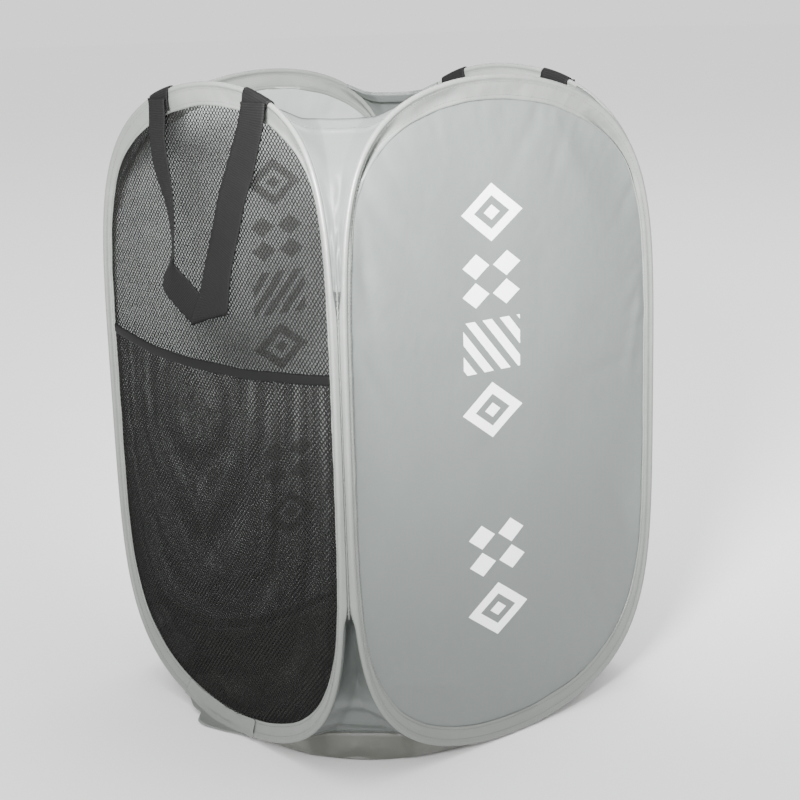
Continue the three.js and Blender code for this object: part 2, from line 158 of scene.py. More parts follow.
def on_wall(points, wall):
    """Points (across, up, outwards) of a wall, as places in the hamper's frame."""
    points = np.asarray(points, float)
    return turned(np.stack([points[..., 0], -(WALL + points[..., 2]), points[..., 1]], -1), wall)


for wall, name in enumerate(WALLS):
    print(name, "wall's middle:", np.round(on_wall([0, MIDDLE, 0], wall), 4).tolist())

# %% [markdown]
# ## Making meshes
# Most pieces are a grid of points that is bent into shape with sums, which keeps their faces
# in even rows. These helpers turn such a grid into a mesh, work out its normals, and turn the
# faces of a closed mesh round if they point inwards.

# %% Mesh helpers
def new_piece(name, points, faces, *materials):
    mesh = bpy.data.meshes.new(name)
    mesh.from_pydata([tuple(p) for p in points], [], [tuple(int(i) for i in f) for f in faces])
    mesh.polygons.foreach_set("use_smooth", [True] * len(mesh.polygons))
    for material in materials:
        mesh.materials.append(material)
    mesh.update()
    piece = bpy.data.objects.new(name, mesh)
    bpy.context.scene.collection.objects.link(piece)
    return piece


def grid_faces(rows, columns, closed_rows=False, closed_columns=False):
    row = np.arange(rows if closed_rows else rows - 1)[:, None]
    column = np.arange(columns if closed_columns else columns - 1)[None, :]
    below, beside = (row + 1) % rows, (column + 1) % columns
    corners = (row, column), (row, beside), (below, beside), (below, column)
    return np.stack([(r * columns + c) + 0 * row * column for r, c in corners], -1).reshape(-1, 4)


def grid_normals(grid, closed_rows=False, closed_columns=False):
    def slope(axis, closed):
        if closed:
            return np.roll(grid, -1, axis) - np.roll(grid, 1, axis)
        return np.gradient(grid, axis=axis)

    normal = np.cross(slope(0, closed_rows), slope(1, closed_columns))
    return normal / np.maximum(np.linalg.norm(normal, axis=-1, keepdims=True), 1e-12)


def facing_out(piece):
    """Turns a closed mesh so that its faces point outwards."""
    mesh = piece.data
    mesh.calc_loop_triangles()
    corners = np.array([[mesh.vertices[i].co[:] for i in t.vertices] for t in mesh.loop_triangles])
    volume = np.einsum("ij,ij->i", corners[:, 0], np.cross(corners[:, 1], corners[:, 2])).sum()
    if volume < 0:
        mesh.flip_normals()
    return piece


print("faces of a tube of 4 rings and 12 sides:", len(grid_faces(4, 12, closed_columns=True)))

# %% [markdown]
# ## Cloth with a thickness
# A sheet of cloth is a closed shell round a grid: the same grid twice, half a thickness to
# each side, with a strip round the edge. A disc's rows run round it, and a pole in the middle
# closes each of its faces. Solidify could thicken a sheet too, but a hem is thicker than the
# cloth beside it, so some shells are made from two grids that aren't evenly apart.

# %% Cloth helpers
def shell_between(name, outer, inner, *materials, closed_rows=False, poles=None):
    """A closed shell between two grids of points. Two poles can close the last columns."""
    rows, columns = outer.shape[:2]
    count, last = rows * columns, columns - 1
    top = grid_faces(rows, columns, closed_rows)
    faces = [top, top[:, ::-1] + count]
    row = np.arange(rows if closed_rows else rows - 1)
    first, after = row * columns, (row + 1) % rows * columns
    edges = [(first, after)]
    if poles is None:
        edges.append((after + last, first + last))
    if not closed_rows:
        column = np.arange(last)
        edges += [(column + 1, column), (count - columns + column, count - columns + column + 1)]
    for a, b in edges:
        faces.append(np.stack([a, b, b + count, a + count], -1))
    made = [tuple(face) for block in faces for face in block]
    points = [outer.reshape(-1, 3), inner.reshape(-1, 3)]
    if poles is not None:
        points.append(poles)
        rim = list(zip(first + last, after + last))
        made += [(a, 2 * count, b) for a, b in rim]
        made += [(b + count, 2 * count + 1, a + count) for a, b in rim]
    return facing_out(new_piece(name, np.concatenate(points), made, *materials))


def cloth_shell(name, grid, thickness, *materials, closed_rows=False, pole=False):
    """A sheet of cloth round a grid of points. A pole closes the grid's last column."""
    normal = grid_normals(grid, closed_rows)
    outer, inner = grid + normal * thickness / 2, grid - normal * thickness / 2
    poles = None
    if pole:
        middle, tip = grid[:, -1].mean(0), normal[:, -1].mean(0)
        tip /= np.linalg.norm(tip)
        poles = np.array([middle + tip * thickness / 2, middle - tip * thickness / 2])
    return shell_between(name, outer, inner, *materials, closed_rows=closed_rows, poles=poles)


# %% [markdown]
# ## Slack and soft steps
# Slack cloth swells and wrinkles softly. A few plane waves in random directions, laid over
# each other, do that well, and come out the same again for the same seed. A soft step lets
# such a shape set in and die out without an edge.

# %% Soft shapes
def waves(u, v, seed, size, count=14):
    """Soft hollows and swells over a sheet, between -1 and 1, from a few plane waves."""
    random = np.random.default_rng(seed)
    total = np.zeros(np.broadcast(u, v).shape)
    for _ in range(count):
        way, phase = random.uniform(0, 2 * np.pi, 2)
        length = size * random.uniform(0.6, 1.7)
        total = total + np.sin((u * np.cos(way) + v * np.sin(way)) * 2 * np.pi / length + phase)
    return total / math.sqrt(count / 2) / 2


def smooth(low, high, value):
    """From 0 at the low value to 1 at the high one, level at both ends."""
    share = np.clip((value - low) / (high - low), 0, 1)
    return share * share * (3 - 2 * share)


steps = np.linspace(0, 1, 5)
print("a soft step:", smooth(0, 1, steps).tolist(), "waves:", np.round(waves(steps, 0, 1, 1), 2))

# %% [markdown]
# ## Writing sums on sockets
# Both the finishes and the repeated pieces are node trees. A tree reads like the sum that it
# works out when a socket is wrapped in a small class with the usual operators, so that
# `0.6 + grain` adds a Math node. Every other node comes from one method, which sets the node's
# own settings first, because some of them change which sockets it has.

# %% Node helpers
class Wire:
    """A socket that a value comes from."""

    def __init__(self, socket):
        self.socket = socket
        self.bench = Bench(socket.id_data)

    def math(self, operation, *values):
        sockets = dict(enumerate((self, *values)))
        return self.bench.add("ShaderNodeMath", {"operation": operation}, sockets)[0]

    def __add__(self, other): return self.math("ADD", other)
    def __radd__(self, other): return self.math("ADD", other)
    def __sub__(self, other): return self.math("SUBTRACT", other)
    def __mul__(self, other): return self.math("MULTIPLY", other)
    def __rmul__(self, other): return self.math("MULTIPLY", other)
    def __truediv__(self, other): return self.math("DIVIDE", other)
    def __mod__(self, other): return self.math("FLOORED_MODULO", other)
    def __lt__(self, other): return self.math("LESS_THAN", other)
    def __gt__(self, other): return self.math("GREATER_THAN", other)


class Bench:
    """A node tree to build on."""

    def __init__(self, tree):
        self.tree = tree

    def add(self, kind, settings=None, sockets=None):
        """Adds a node, and gives back its outputs."""
        node = self.tree.nodes.new(kind)
        for name, value in (settings or {}).items():
            setattr(node, name, value)
        for name, value in (sockets or {}).items():
            self.feed(node.inputs[name], value)
        return [Wire(socket) for socket in node.outputs]

    def feed(self, socket, value):
        if isinstance(value, Wire):
            self.tree.links.new(value.socket, socket)
        else:
            socket.default_value = value


# %% [markdown]
# ## Finishes
# Every finish is one Principled shader, whose colour, roughness and bump are worked out from
# soft noise on the object's own coordinates. So a finish stays in place on its piece, and
# doesn't blur near by, as a picture would. Small helpers add the nodes that finishes share.

# %% Finish helpers
def principled(name, **constants):
    material = bpy.data.materials.new(name)
    material.use_nodes = True
    bench = Bench(material.node_tree)
    shader = material.node_tree.nodes["Principled BSDF"]
    for socket, value in constants.items():
        shader.inputs[socket.replace("_", " ")].default_value = value
    return material, bench, shader


def object_place(bench):
    return bench.add("ShaderNodeTexCoord")[3]


def bumped(bench, shader, height, strength, distance):
    sockets = {"Strength": strength, "Distance": distance, "Height": height}
    bench.feed(shader.inputs["Normal"], bench.add("ShaderNodeBump", None, sockets)[0])


def noise(bench, place, scale, detail=3.0, roughness=0.55):
    sockets = {"Vector": place, "Scale": scale, "Detail": detail, "Roughness": roughness}
    return bench.add("ShaderNodeTexNoise", None, sockets)[0]


def mix_colour(bench, factor, first, second):
    settings = {"data_type": "RGBA"}
    return bench.add("ShaderNodeMix", settings, {0: factor, 6: first, 7: second})[2]


# %% [markdown]
# ## Nylon
# The cloth is a thin coated nylon in a light grey that leans to green. It is plain from a step
# away: what gives it away as cloth is a satin roughness that varies a little, slack hollows
# that catch the light, and a weave too fine to count. The weave and the slack are bumps,
# because neither is deep enough to need a mesh. Each kind of piece has its own copy of the
# nylon: the bindings' is lighter, painted light on rims that catch the lamps, and the gussets'
# and the base's are darker, painted shade in the corners and at the foot.

# %% Nylon
def weave_height(bench, place, pitch):
    """A plain weave on any wall: fine waves along each axis, which cancel across it."""
    x, y, z = bench.add("ShaderNodeSeparateXYZ", None, {0: place})
    turns = 2 * math.pi / pitch
    return ((x * turns).math("SINE") + (y * turns).math("SINE")) * (z * turns).math("SINE")


WEAVE = 1.1 * MM
WHITE_INK = (0.92, 0.93, 0.94, 1)


def nylon(name, light, dark, printed=None, ink=WHITE_INK, show=1.0, creases=0.35, gloss=0.65):
    """Coated nylon between two tones, with a print that shows by a share."""
    material, bench, shader = principled(name, IOR=1.5, Specular_IOR_Level=gloss)
    place = object_place(bench)
    broad = noise(bench, place, 7.0, 2.0)
    fine = noise(bench, place, 90.0, 4.0)
    tone = (broad - 0.5) * 1.2 + (fine - 0.5) * 0.5 + 0.5
    colour = mix_colour(bench, tone.math("MINIMUM", 1.0).math("MAXIMUM", 0.0), dark, light)
    rough = 0.36 + (fine - 0.5) * 0.18
    if printed:
        mask = printed(bench, place) * show
        colour = mix_colour(bench, mask, colour, ink)
        rough = rough + mask * 0.12
    bench.feed(shader.inputs["Base Color"], colour)
    bench.feed(shader.inputs["Roughness"], rough)
    slack = noise(bench, place, 16.0, 2.0, 0.5)
    crumple = (noise(bench, place, 38.0, 2.0, 0.6) - 0.5).math("ABSOLUTE")
    weave = weave_height(bench, place, WEAVE) * 0.012
    height = slack * 4.0 * creases - crumple * 1.6 * creases + weave
    bumped(bench, shader, height, 0.6, 2.0 * MM)
    return material


panel_tones = (0.119, 0.133, 0.128, 1), (0.102, 0.115, 0.111, 1)
# The bindings' tones are lighter than the panels': painted light on the rims.
lit_band_tones = (0.152, 0.162, 0.151, 1), (0.127, 0.136, 0.127, 1)
# The gussets' tones are darker than the panels': painted shade in the corners.
shaded_gusset_tones = (0.108, 0.117, 0.112, 1), (0.092, 0.101, 0.096, 1)
# The base's tones are darker than the panels': painted shade at the foot, where the cloth faces
# down.
shaded_pouch_tones = (0.082, 0.085, 0.073, 1), (0.062, 0.064, 0.056, 1)
panel_nylon = nylon("panel_nylon", *panel_tones)
lit_band_nylon = nylon("lit_band_nylon", *lit_band_tones, creases=0.6)
shaded_gusset_nylon = nylon("shaded_gusset_nylon", *shaded_gusset_tones, creases=0.6, gloss=0.12)
shaded_pouch_nylon = nylon("shaded_pouch_nylon", *shaded_pouch_tones, creases=0.8)
print("nylon:", ", ".join(m.name for m in (panel_nylon, lit_band_nylon, shaded_gusset_nylon, shaded_pouch_nylon)))

# %% [markdown]
# ## Printed marks
# Six bold marks run down the walls to the right and left: frames and groups of diamonds, and
# slanted bars. A picture would blur near by, so each mark is worked out from the place on the
# wall, as a sum of comparisons whose edges stay sharp. The same mask serves the outer face,
# in white, and the inner face, where the ink only shows as a painted shadow of the light it
# stops. The inner faces are a lighter copy of the nylon: painted light, because the cloth looks
# paler where daylight comes through it.

# %% Printed marks
MARK_ACROSS, MARK_UP = 35 * MM, 25 * MM  # half a mark's width and height
MARK_MIDDLE = -18 * MM  # of the column, from the wall's middle
MARKS = {484: "frame", 426: "group", 368: "bars", 310: "frame", 184: "group", 126: "frame"}


def wall_print(side):
    """The mask of the marks on the wall to the right (1) or to the left (-1)."""

    def mask(bench, place):
        _, y, z = bench.add("ShaderNodeSeparateXYZ", None, {0: place})
        across = (y * side - MARK_MIDDLE) / MARK_ACROSS
        total = 0.0
        for height, kind in MARKS.items():
            up = (z - height * MM) / MARK_UP
            p, q = across.math("ABSOLUTE"), up.math("ABSOLUTE")
            if kind == "frame":
                far = p + q
                total = total + ((far < 1) * (far > 0.58) + (far < 0.26))
            elif kind == "group":
                far = (p - 0.5).math("ABSOLUTE") + (q - 0.5).math("ABSOLUTE")
                total = total + (far < 0.44)
            else:
                bars = (across * 1.1 + up * 0.7 + 0.3) % 0.62
                total = total + (bars < 0.34) * (p < 0.94) * (q < 0.92)
        return total

    return mask


# Inner faces: a lighter copy of the panel nylon, painted light for daylight through the cloth.
# Their marks are a painted shadow of the ink.
backlit_inner_tones = (0.245, 0.261, 0.254, 1), (0.235, 0.249, 0.242, 1)
SHADOW_INK = (0.08, 0.084, 0.08, 1)
outer_faces = {
    "right": nylon("right_print", *panel_tones, wall_print(1)),
    "back": panel_nylon,
    "left": nylon("left_print", *panel_tones, wall_print(-1)),
}
inner_faces = {
    "right": nylon("right_inside_backlit", *backlit_inner_tones, wall_print(1), SHADOW_INK, show=0.6),
    "back": nylon("back_inside_backlit", *backlit_inner_tones),
    "left": nylon("left_inside_backlit", *backlit_inner_tones, wall_print(-1), SHADOW_INK, show=0.9),
}
print("marks:", len(MARKS), "on", outer_faces["right"].name, "and", outer_faces["left"].name)

# %% [markdown]
# ## Thread, net, webbing and steel
# Thread is matt grey polyester, and the net and its tape are black. The webbing is ribbed
# across its length, which follows the strap, so its ribs read the strap's own UV map. The
# spring wire and its crimp are hidden in the binding, but they still get drawn steel with fine
# lines along it.

# %% Other finishes
def plain_fibre(name, colour, deep, roughness, scale):
    material, bench, shader = principled(name, IOR=1.45, Specular_IOR_Level=0.12)
    place = object_place(bench)
    grain = noise(bench, place, scale, 4.0)
    bench.feed(shader.inputs["Base Color"], mix_colour(bench, grain, deep, colour))
    bench.feed(shader.inputs["Roughness"], roughness + (grain - 0.5) * 0.2)
    bumped(bench, shader, grain, 0.3, 0.2 * MM)
    return material


RIB, YARN = 2.1 * MM, 1.6 * MM  # pitches of the webbing, along and across it


def ribbed_webbing(name):
    material, bench, shader = principled(name, IOR=1.45, Specular_IOR_Level=0.14)
    place = bench.add("ShaderNodeUVMap", {"uv_map": "strap"})[0]
    along, sideways, _ = bench.add("ShaderNodeSeparateXYZ", None, {0: place})
    ribs = (along * (2 * math.pi / RIB)).math("SINE")
    yarns = (sideways * (2 * math.pi / YARN) + ribs * 0.9).math("SINE")
    grain = noise(bench, object_place(bench), 160.0, 3.0)
    lit = (ribs * 0.22 + yarns * 0.18 + grain * 0.5 + 0.2).math("MAXIMUM", 0.0)
    shade = mix_colour(bench, lit, (0.0018, 0.0018, 0.0019, 1), (0.0075, 0.0073, 0.0073, 1))
    bench.feed(shader.inputs["Base Color"], shade)
    bench.feed(shader.inputs["Roughness"], 0.62 + grain * 0.2)
    bumped(bench, shader, ribs * 0.6 + yarns * 0.4 + grain * 0.3, 0.5, 0.35 * MM)
    return material


def drawn_steel(name, colour, roughness):
    material, bench, shader = principled(name, Metallic=1.0)
    place = object_place(bench)
    long_way = bench.add("ShaderNodeMapping", None, {0: place, 3: (40.0, 40.0, 900.0)})[0]
    lines = noise(bench, long_way, 2.0, 5.0)
    dull = tuple(0.8 * c for c in colour[:3]) + (1,)
    bench.feed(shader.inputs["Base Color"], mix_colour(bench, lines, dull, colour))
    bench.feed(shader.inputs["Roughness"], roughness + (lines - 0.5) * 0.25)
    bumped(bench, shader, lines, 0.2, 0.05 * MM)
    return material


tape_tones = (0.005, 0.005, 0.0052, 1), (0.0025, 0.0025, 0.0026, 1)
thread_tones = (0.150, 0.158, 0.150, 1), (0.115, 0.121, 0.115, 1)
net_tones = (0.009, 0.0088, 0.0085, 1), (0.004, 0.004, 0.0039, 1)
tape_cloth = plain_fibre("tape_cloth", *tape_tones, 0.6, 700.0)
grey_thread = plain_fibre("grey_thread", *thread_tones, 0.6, 900.0)
net_fibre = plain_fibre("net_fibre", *net_tones, 0.6, 500.0)
webbing = ribbed_webbing("ribbed_webbing")
wire_steel = drawn_steel("wire_steel", (0.55, 0.56, 0.58, 1), 0.32)
crimp_steel = drawn_steel("crimp_steel", (0.66, 0.67, 0.68, 1), 0.45)
for name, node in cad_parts.items():
    steel = wire_steel if name.endswith("wire") else crimp_steel
    if name.endswith(("wire", "ferrule")):
        node.data.materials.clear()
        node.data.materials.append(steel)
print("steel on", sum(n.endswith(("wire", "ferrule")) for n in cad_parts), "hidden pieces")

# %% [markdown]
# ## Camera, floor and light
# The camera stands where the photograph was taken from: about 51 degrees round from the netted
# wall and a little above the rim. A pale floor, a bright world and one broad lamp high above
# stand in for the white background. Three small lamps add what a studio's walls would: one
# for the rims at the near corner, one low on the printed wall and one on the net's foot.

# %% Camera and studio
def aimed(yaw, pitch, roll):
    """A camera's turn, from radians."""
    level = math.cos(pitch)
    ahead = Vector((-math.sin(yaw) * level, math.cos(yaw) * level, math.sin(pitch)))
    right = Vector((math.cos(yaw), math.sin(yaw), 0))
    up = right.cross(ahead)
    across = right * math.cos(roll) + up * math.sin(roll)
    upright = up * math.cos(roll) - right * math.sin(roll)
    return Matrix((across, upright, -ahead)).transposed().to_quaternion()


camera = bpy.data.objects.new("camera", bpy.data.cameras.new("camera"))
bpy.context.scene.collection.objects.link(camera)
camera.location = (1.2124, -0.9578, 0.6513)
camera.rotation_mode = "QUATERNION"
camera.rotation_quaternion = aimed(0.8887, -0.2331, -0.0284)
camera.data.sensor_width = 36
camera.data.lens = 36 * 1629.5 / 800  # the focal length over the picture's width, in pixels
bpy.context.scene.camera = camera


def soft_light(name, place, size, power, aim=(0, 0, 0.3), spread=180):
    lamp = bpy.data.lights.new(name, "AREA")
    lamp.shape, lamp.size, lamp.energy, lamp.spread = "DISK", size, power, math.radians(spread)
    light = bpy.data.objects.new(name, lamp)
    light.location = place
    light.rotation_euler = (Vector(aim) - Vector(place)).to_track_quat("-Z", "Y").to_euler()
    bpy.context.scene.collection.objects.link(light)


soft_light("key", (0.75, -0.85, 0.85), 0.3, 11, aim=(0.19, -0.10, 0.61), spread=52)
soft_light("low", (1.4, -0.95, 0.2), 0.8, 1.2, aim=(0.17, -0.12, 0.0), spread=90)
soft_light("foot", (0.4, -1.6, 0.2), 0.7, 2.2, aim=(0.0, -0.19, 0.0), spread=76)
soft_light("top", (0.0, 0.0, 5.0), 6.0, 190)
world = bpy.data.worlds.new("studio")
world.use_nodes = True
world.node_tree.nodes["Background"].inputs["Color"].default_value = (1, 1, 1, 1)
world.node_tree.nodes["Background"].inputs["Strength"].default_value = 1.3
bpy.context.scene.world = world

FLOOR_REACH, FLOOR_DROP = 40, 0.6 * MM
corner = np.array([(-1, -1), (1, -1), (1, 1), (-1, 1)]) * FLOOR_REACH
floor = new_piece("floor", np.c_[corner, [-FLOOR_DROP] * 4], [(0, 1, 2, 3)])
paint, bench, shader = principled("floor_paint", Roughness=0.9)
grain = noise(bench, object_place(bench), 3.0)
tint = mix_colour(bench, grain, (0.955, 0.955, 0.955, 1), (0.98, 0.98, 0.98, 1))
bench.feed(shader.inputs["Base Color"], tint)
floor.data.materials.append(paint)
print(f"camera lens {camera.data.lens:.1f} mm")

# %% [markdown]
# ## Bindings
# The binding is a strip of doubled nylon folded over the wire and sewn along its free edge. It
# is the hamper's most visible trim: a rolled edge, a shallow groove beside it where the thread
# pulls the cloth together, and a band that slopes in to the panel. It is widest over the top,
# where nothing pulls on it, and narrow at the sides. Where two hoops are sewn together, the
# roll is drawn out to a point towards the seam between them. Each of these is a sum of its
# own, over the place along the hoop.

# %% Forms of the binding
ROLL = 2.4 * MM  # radius of the rolled edge over the wire
GROOVE = 3.9 * MM  # from the wire's centre to the groove's thread
BAND_POINTS, ROLL_POINTS = 9, 23  # of the section, on each face of the band and on the roll
TIP_POINT = 14  # the roll's point that faces the next hoop's
WELT_ROOM = 0.28 * MM  # left free for the welt where two rolls meet
MEET_LOW, MEET_HIGH = (148, 172), (442, 408)  # heights where they part, in millimetres


def band_width(rise):
    """From the wire's centre to the band's free edge: narrow at the sides, wide on top."""
    return (8.2 + 10.3 * smooth(0.68, 0.99, rise) + 6.4 * smooth(0.5, 0.97, -rise)) * MM


def band_depth(rise):
    """How far the band's free edge lies behind the wire's plane."""
    return (2.3 + 0.5 * smooth(0.4, 0.95, np.abs(rise))) * MM


def band_bow(hoop, rise, length, seed):
    """How far the band's middle stands off its slope, where it puckers, caves in or slumps."""
    pucker = waves(length, 0 * length, seed, 0.017) * 0.30 * MM
    loose = smooth(0.35, 0.7, np.abs(rise))
    hollow = np.exp(-(((rise - 0.8) / 0.13) ** 2))
    hollow = hollow * (1 + 0.5 * waves(length, 0 * length, seed + 4, 0.06))
    deep = 1.0 if hoop is hoops[0] else 4.5
    slump = loose * (waves(length, 0 * length, seed + 2, 0.11, 7) * 1.5 - 0.9)
    return pucker + (slump * min(deep, 1.5) / 1.5 - deep * hollow) * MM


def roll_points(wire):
    """The roll's points round the wire, drawn out towards the next hoop where they are sewn."""
    aside, behind = SEAM - np.abs(wire[..., 0]), WALL - SEAM
    met = smooth(*MEET_LOW, wire[..., 1] / MM) * smooth(*MEET_HIGH, wire[..., 1] / MM)
    reach = ROLL + (np.maximum(np.hypot(aside, behind) - WELT_ROOM, ROLL) - ROLL) * met
    facing, opening = np.arctan2(-behind, -aside) % (2 * np.pi), np.arccos(ROLL / reach)
    first, last = math.radians(36), math.radians(324)
    for k in range(ROLL_POINTS):
        if k <= TIP_POINT:
            angle = first + (facing - first) * k / TIP_POINT
        else:
            angle = facing + (last - facing) * (k - TIP_POINT) / (ROLL_POINTS - 1 - TIP_POINT)
        turn = np.abs(angle - facing)
        radius = np.where(turn < opening, ROLL / np.cos(np.maximum(opening - turn, 0)), ROLL)
        yield radius * np.cos(angle), radius * np.sin(angle)


widths = ", ".join(f"{band_width(rise) / MM:.1f}" for rise in (0, 1, -1))
print(f"the bands are {widths} mm wide at a side, on top and at the foot")

# %% [markdown]
# ## The binding's section
# A curve with a bevel profile would have the same section everywhere. Here the section is a
# row of points down the band's outer face, round the roll and up its inner face. It is worked
# out anew at every second sample of the hoop, and the rows join into one closed tube.

# %% Bindings
def binding_section(hoop, station, seed):
    """Points (inwards, outwards) of the band's outer face, the roll, and the inner face."""
    rise = hoop.rise(station)
    length = station / STATIONS * hoop.length
    width = band_width(rise) + waves(length, 0 * length, seed + 1, 0.05) * 0.45 * MM
    depth = band_depth(rise)
    bow = band_bow(hoop, rise, length, seed)
    outer = []
    for share in np.linspace(1, 0, BAND_POINTS):
        inwards = GROOVE + (width - GROOVE) * share
        half = (0.45 + 0.6 * math.sin(math.pi * min(share * 1.25, 1)) ** 0.8 + 0.35 * share**4) * MM
        outer.append((inwards, half - depth * share**1.3 + bow * math.sin(math.pi * share)))
    inner = []
    for (inwards, outwards), share in zip(outer[::-1], np.linspace(0, 1, BAND_POINTS)):
        swing = 2 * bow * math.sin(math.pi * share)
        inner.append((inwards, -2 * depth * share**1.3 - outwards + swing))
    return [*outer, *roll_points(hoop.off(station, 0)), *inner]


def make_binding(wall):
    station = np.arange(0, STATIONS, 2)
    section = binding_section(hoops[wall], station, 3 + 10 * wall)
    grid = np.stack([hoops[wall].off(station, i, o) for i, o in section], 1)
    faces = grid_faces(*grid.shape[:2], closed_rows=True, closed_columns=True)
    name = WALLS[wall]
    piece = new_piece(f"{name}_binding", on_wall(grid, wall).reshape(-1, 3), faces, lit_band_nylon)
    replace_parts(facing_out(piece), f"{name}_hoop_binding")
    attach(piece, f"{name}_wall")
    return piece


for wall in range(4):
    binding = make_binding(wall)
print("binding faces:", len(binding.data.polygons))

# %% [markdown]
# ## The binding's loose end
# The netted wall's binding starts and ends near the foot. Its end laps over its beginning in a
# flat ply with a cut edge, and beside that the ply has come loose and flares out over the
# floor. It is a strip that follows the band's own section, a little above it, and its last
# points swing away from the roll by a share that rises and falls along the strip.

# %% Loose end
PLY = 0.55 * MM  # thickness of the cut end


def loose_end():
    hoop = hoops[0]
    station = np.linspace(-34, 17, 69)
    section = binding_section(hoop, station % STATIONS, 3)
    flare = 0.3 * smooth(-31, -23, station) + 0.7 * smooth(-19, -13, station)
    flare = flare * smooth(14, -12, station)
    lapped = 0.15 + 0.85 * smooth(-34, -22, station)
    rows = []
    for k, (inwards, outwards) in enumerate(section[:BAND_POINTS]):
        proud = 0.75 + 0.9 * (k / (BAND_POINTS - 1)) ** 2
        rows.append((inwards, outwards + lapped * proud * MM))
    for out, down in ((0.4, 0.55), (0.9, 0.1), (1.0, -0.55)):
        rows.append((ROLL * down + 0 * station, ROLL * out + lapped * 0.8 * MM))
    for step in (1, 2, 3, 4, 5):
        reach = ROLL + (0.8 * lapped + 3.0 * step * flare) * MM
        drop = np.minimum(0.55 * ROLL + 0.22 * step * MM * flare, ROLL + 0.1 * MM)
        rows.append((-drop - 0.02 * step * MM, reach))
    ripple = waves(station * 0.0024, 0 * station, 17, 0.028) * flare * MM
    grid = []
    for k, (inwards, outwards) in enumerate(rows):
        free = k >= BAND_POINTS
        grid.append(hoop.off(station, inwards + ripple * 0.3, outwards + ripple * free))
    end = cloth_shell("front_binding_end", on_wall(np.stack(grid, 1), 0), PLY, lit_band_nylon)
    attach(end, "front_wall")
    return end


print("loose end", len(loose_end().data.polygons), "faces")

# %% [markdown]
# ## Sheets in the hoops
# Each wall's sheet is cut to its hoop and sewn in under the binding's free edge. The cloth is
# taut but not flat: it swells a little between its seams and puckers where they gather it. The
# grid runs round the hoop and in to the middle, so the puckers can fade with distance from
# the seam. A cloth simulation would give the same soft swells, but not the same puckers.

# %% Sheets in the hoops
TUCK = 1.8 * MM  # of a sheet's edge inside its binding
FOLDS, SHOULDERS = 26, [80, 250, 330, 400, 470, 640]  # how many, and the stations they gather at


def tension_folds(across, up, wall):
    """Soft folds that run in from the seam, where the cloth is pulled most at the shoulders."""
    random = np.random.default_rng(400 + wall)
    total = 0 * across
    for _ in range(FOLDS):
        station = random.choice(SHOULDERS) + random.normal(0, 34)
        foot = hoops[wall].off(station, 12 * MM)[:2]
        way = math.atan2(MIDDLE - foot[1], -foot[0]) + random.normal(0, 0.75)
        length, width = random.uniform(0.05, 0.17), random.uniform(6, 13) * MM
        along = (across - foot[0]) * math.cos(way) + (up - foot[1]) * math.sin(way)
        aside = (up - foot[1]) * math.cos(way) - (across - foot[0]) * math.sin(way)
        fade = smooth(-0.005, 0.02, along) * smooth(1, 0.25, along / length)
        spread = width * (0.6 + np.clip(along, 0, length) / length)
        height = random.choice([-1, 1]) * random.uniform(0.8, 2.0) * MM
        total = total + height * fade * np.exp(-((aside / spread) ** 2))
    return total


def sewn_grid(wall, rings=60, every=2):
    """A sheet in a hoop, from its sewn edge in to the middle. The net is stiffer than nylon."""
    hoop = hoops[wall]
    slackness, deeper = (0.25, 1.3 * MM) if wall == 0 else (1.0, 0.5 * MM)
    station = np.arange(0, STATIONS, every)
    rise = hoop.rise(station)
    edge = hoop.off(station, band_width(rise) - TUCK)
    share = (1 - np.linspace(0, 1, rings + 1)[:-1] ** 1.15)[None, :]
    across = edge[:, None, 0] * share
    up = MIDDLE + (edge[:, None, 1] - MIDDLE) * share
    length = (station / STATIONS * hoop.length)[:, None]
    away = np.hypot(edge[:, None, 0] - across, edge[:, None, 1] - up)
    pucker = waves(length, 0 * length, 65 + wall, 0.024) * np.exp(-away / (22 * MM)) * 0.7 * MM
    slack = waves(across, up, 60 + wall, 0.24, 10) * 3.0 * MM + tension_folds(across, up, wall)
    slack = slack + waves(across, up, 70 + wall, 0.075, 12) * 0.4 * MM
    slack = -3.5 * MM + slackness * slack
    hold = np.exp(-away / (14 * MM))
    tucked = band_depth(rise)[:, None] + deeper
    outwards = -tucked * hold + slack * (1 - hold)
    outwards = outwards + pucker * (1 - np.exp(-away / (3 * MM)))
    return on_wall(np.stack([across, up, outwards], -1), wall)


print("points of a wall's sheet, round it and in to its middle:", sewn_grid(1).shape[:2])

# %% [markdown]
# ## Nylon panels
# Three of the sheets are nylon: each is a shell round its grid, with one finish on the outer
# face and, on the inner one, a lighter copy of the nylon that is painted light for daylight
# through the cloth. The flat size that each sheet's own mesh comes to is worked out and printed.

# %% Nylon panels
PANEL = 0.5 * MM  # cloth thickness


def declare_sheet(piece, layers=2, area=None):
    """Works out the flat size that a piece's own mesh comes to, and its area."""
    mesh = piece.data
    area = area or sum(face.area for face in mesh.polygons) / layers
    places = np.array([v.co[:] for v in mesh.vertices])
    spans = sorted(np.ptp(places, axis=0))[1:]
    # A bent sheet's box is smaller than the sheet laid flat, so it is drawn out to hold it
    if spans[0] * spans[1] < area * 1.02:
        spans = [spans[0] * area * 1.05 / (spans[0] * spans[1]), spans[1]]
    flat = tuple(round(float(v), 3) for v in spans)
    return flat, area


for wall in (1, 2, 3):
    name = WALLS[wall]
    faces = outer_faces[name], inner_faces[name]
    grid = sewn_grid(wall)
    panel = cloth_shell(f"{name}_panel", grid, PANEL, *faces, closed_rows=True, pole=True)
    outwards = Vector(turned([0, -1, 0], wall))
    for face in panel.data.polygons:
        face.material_index = int(face.normal.dot(outwards) < 0)
    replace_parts(panel, f"{name}_cloth_panel")
    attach(panel, f"{name}_wall")
    print(name, "panel", declare_sheet(panel))

# %% [markdown]
# ## Growing repeated pieces
# Netting and stitches are thousands of equal small pieces, which a Geometry Nodes tree places
# far better than a loop could: it works on the whole sheet or seam at once. One function
# starts a tree with named inputs, another ends it, and a third runs it and keeps the result
# as a plain mesh, because instances don't survive an export.

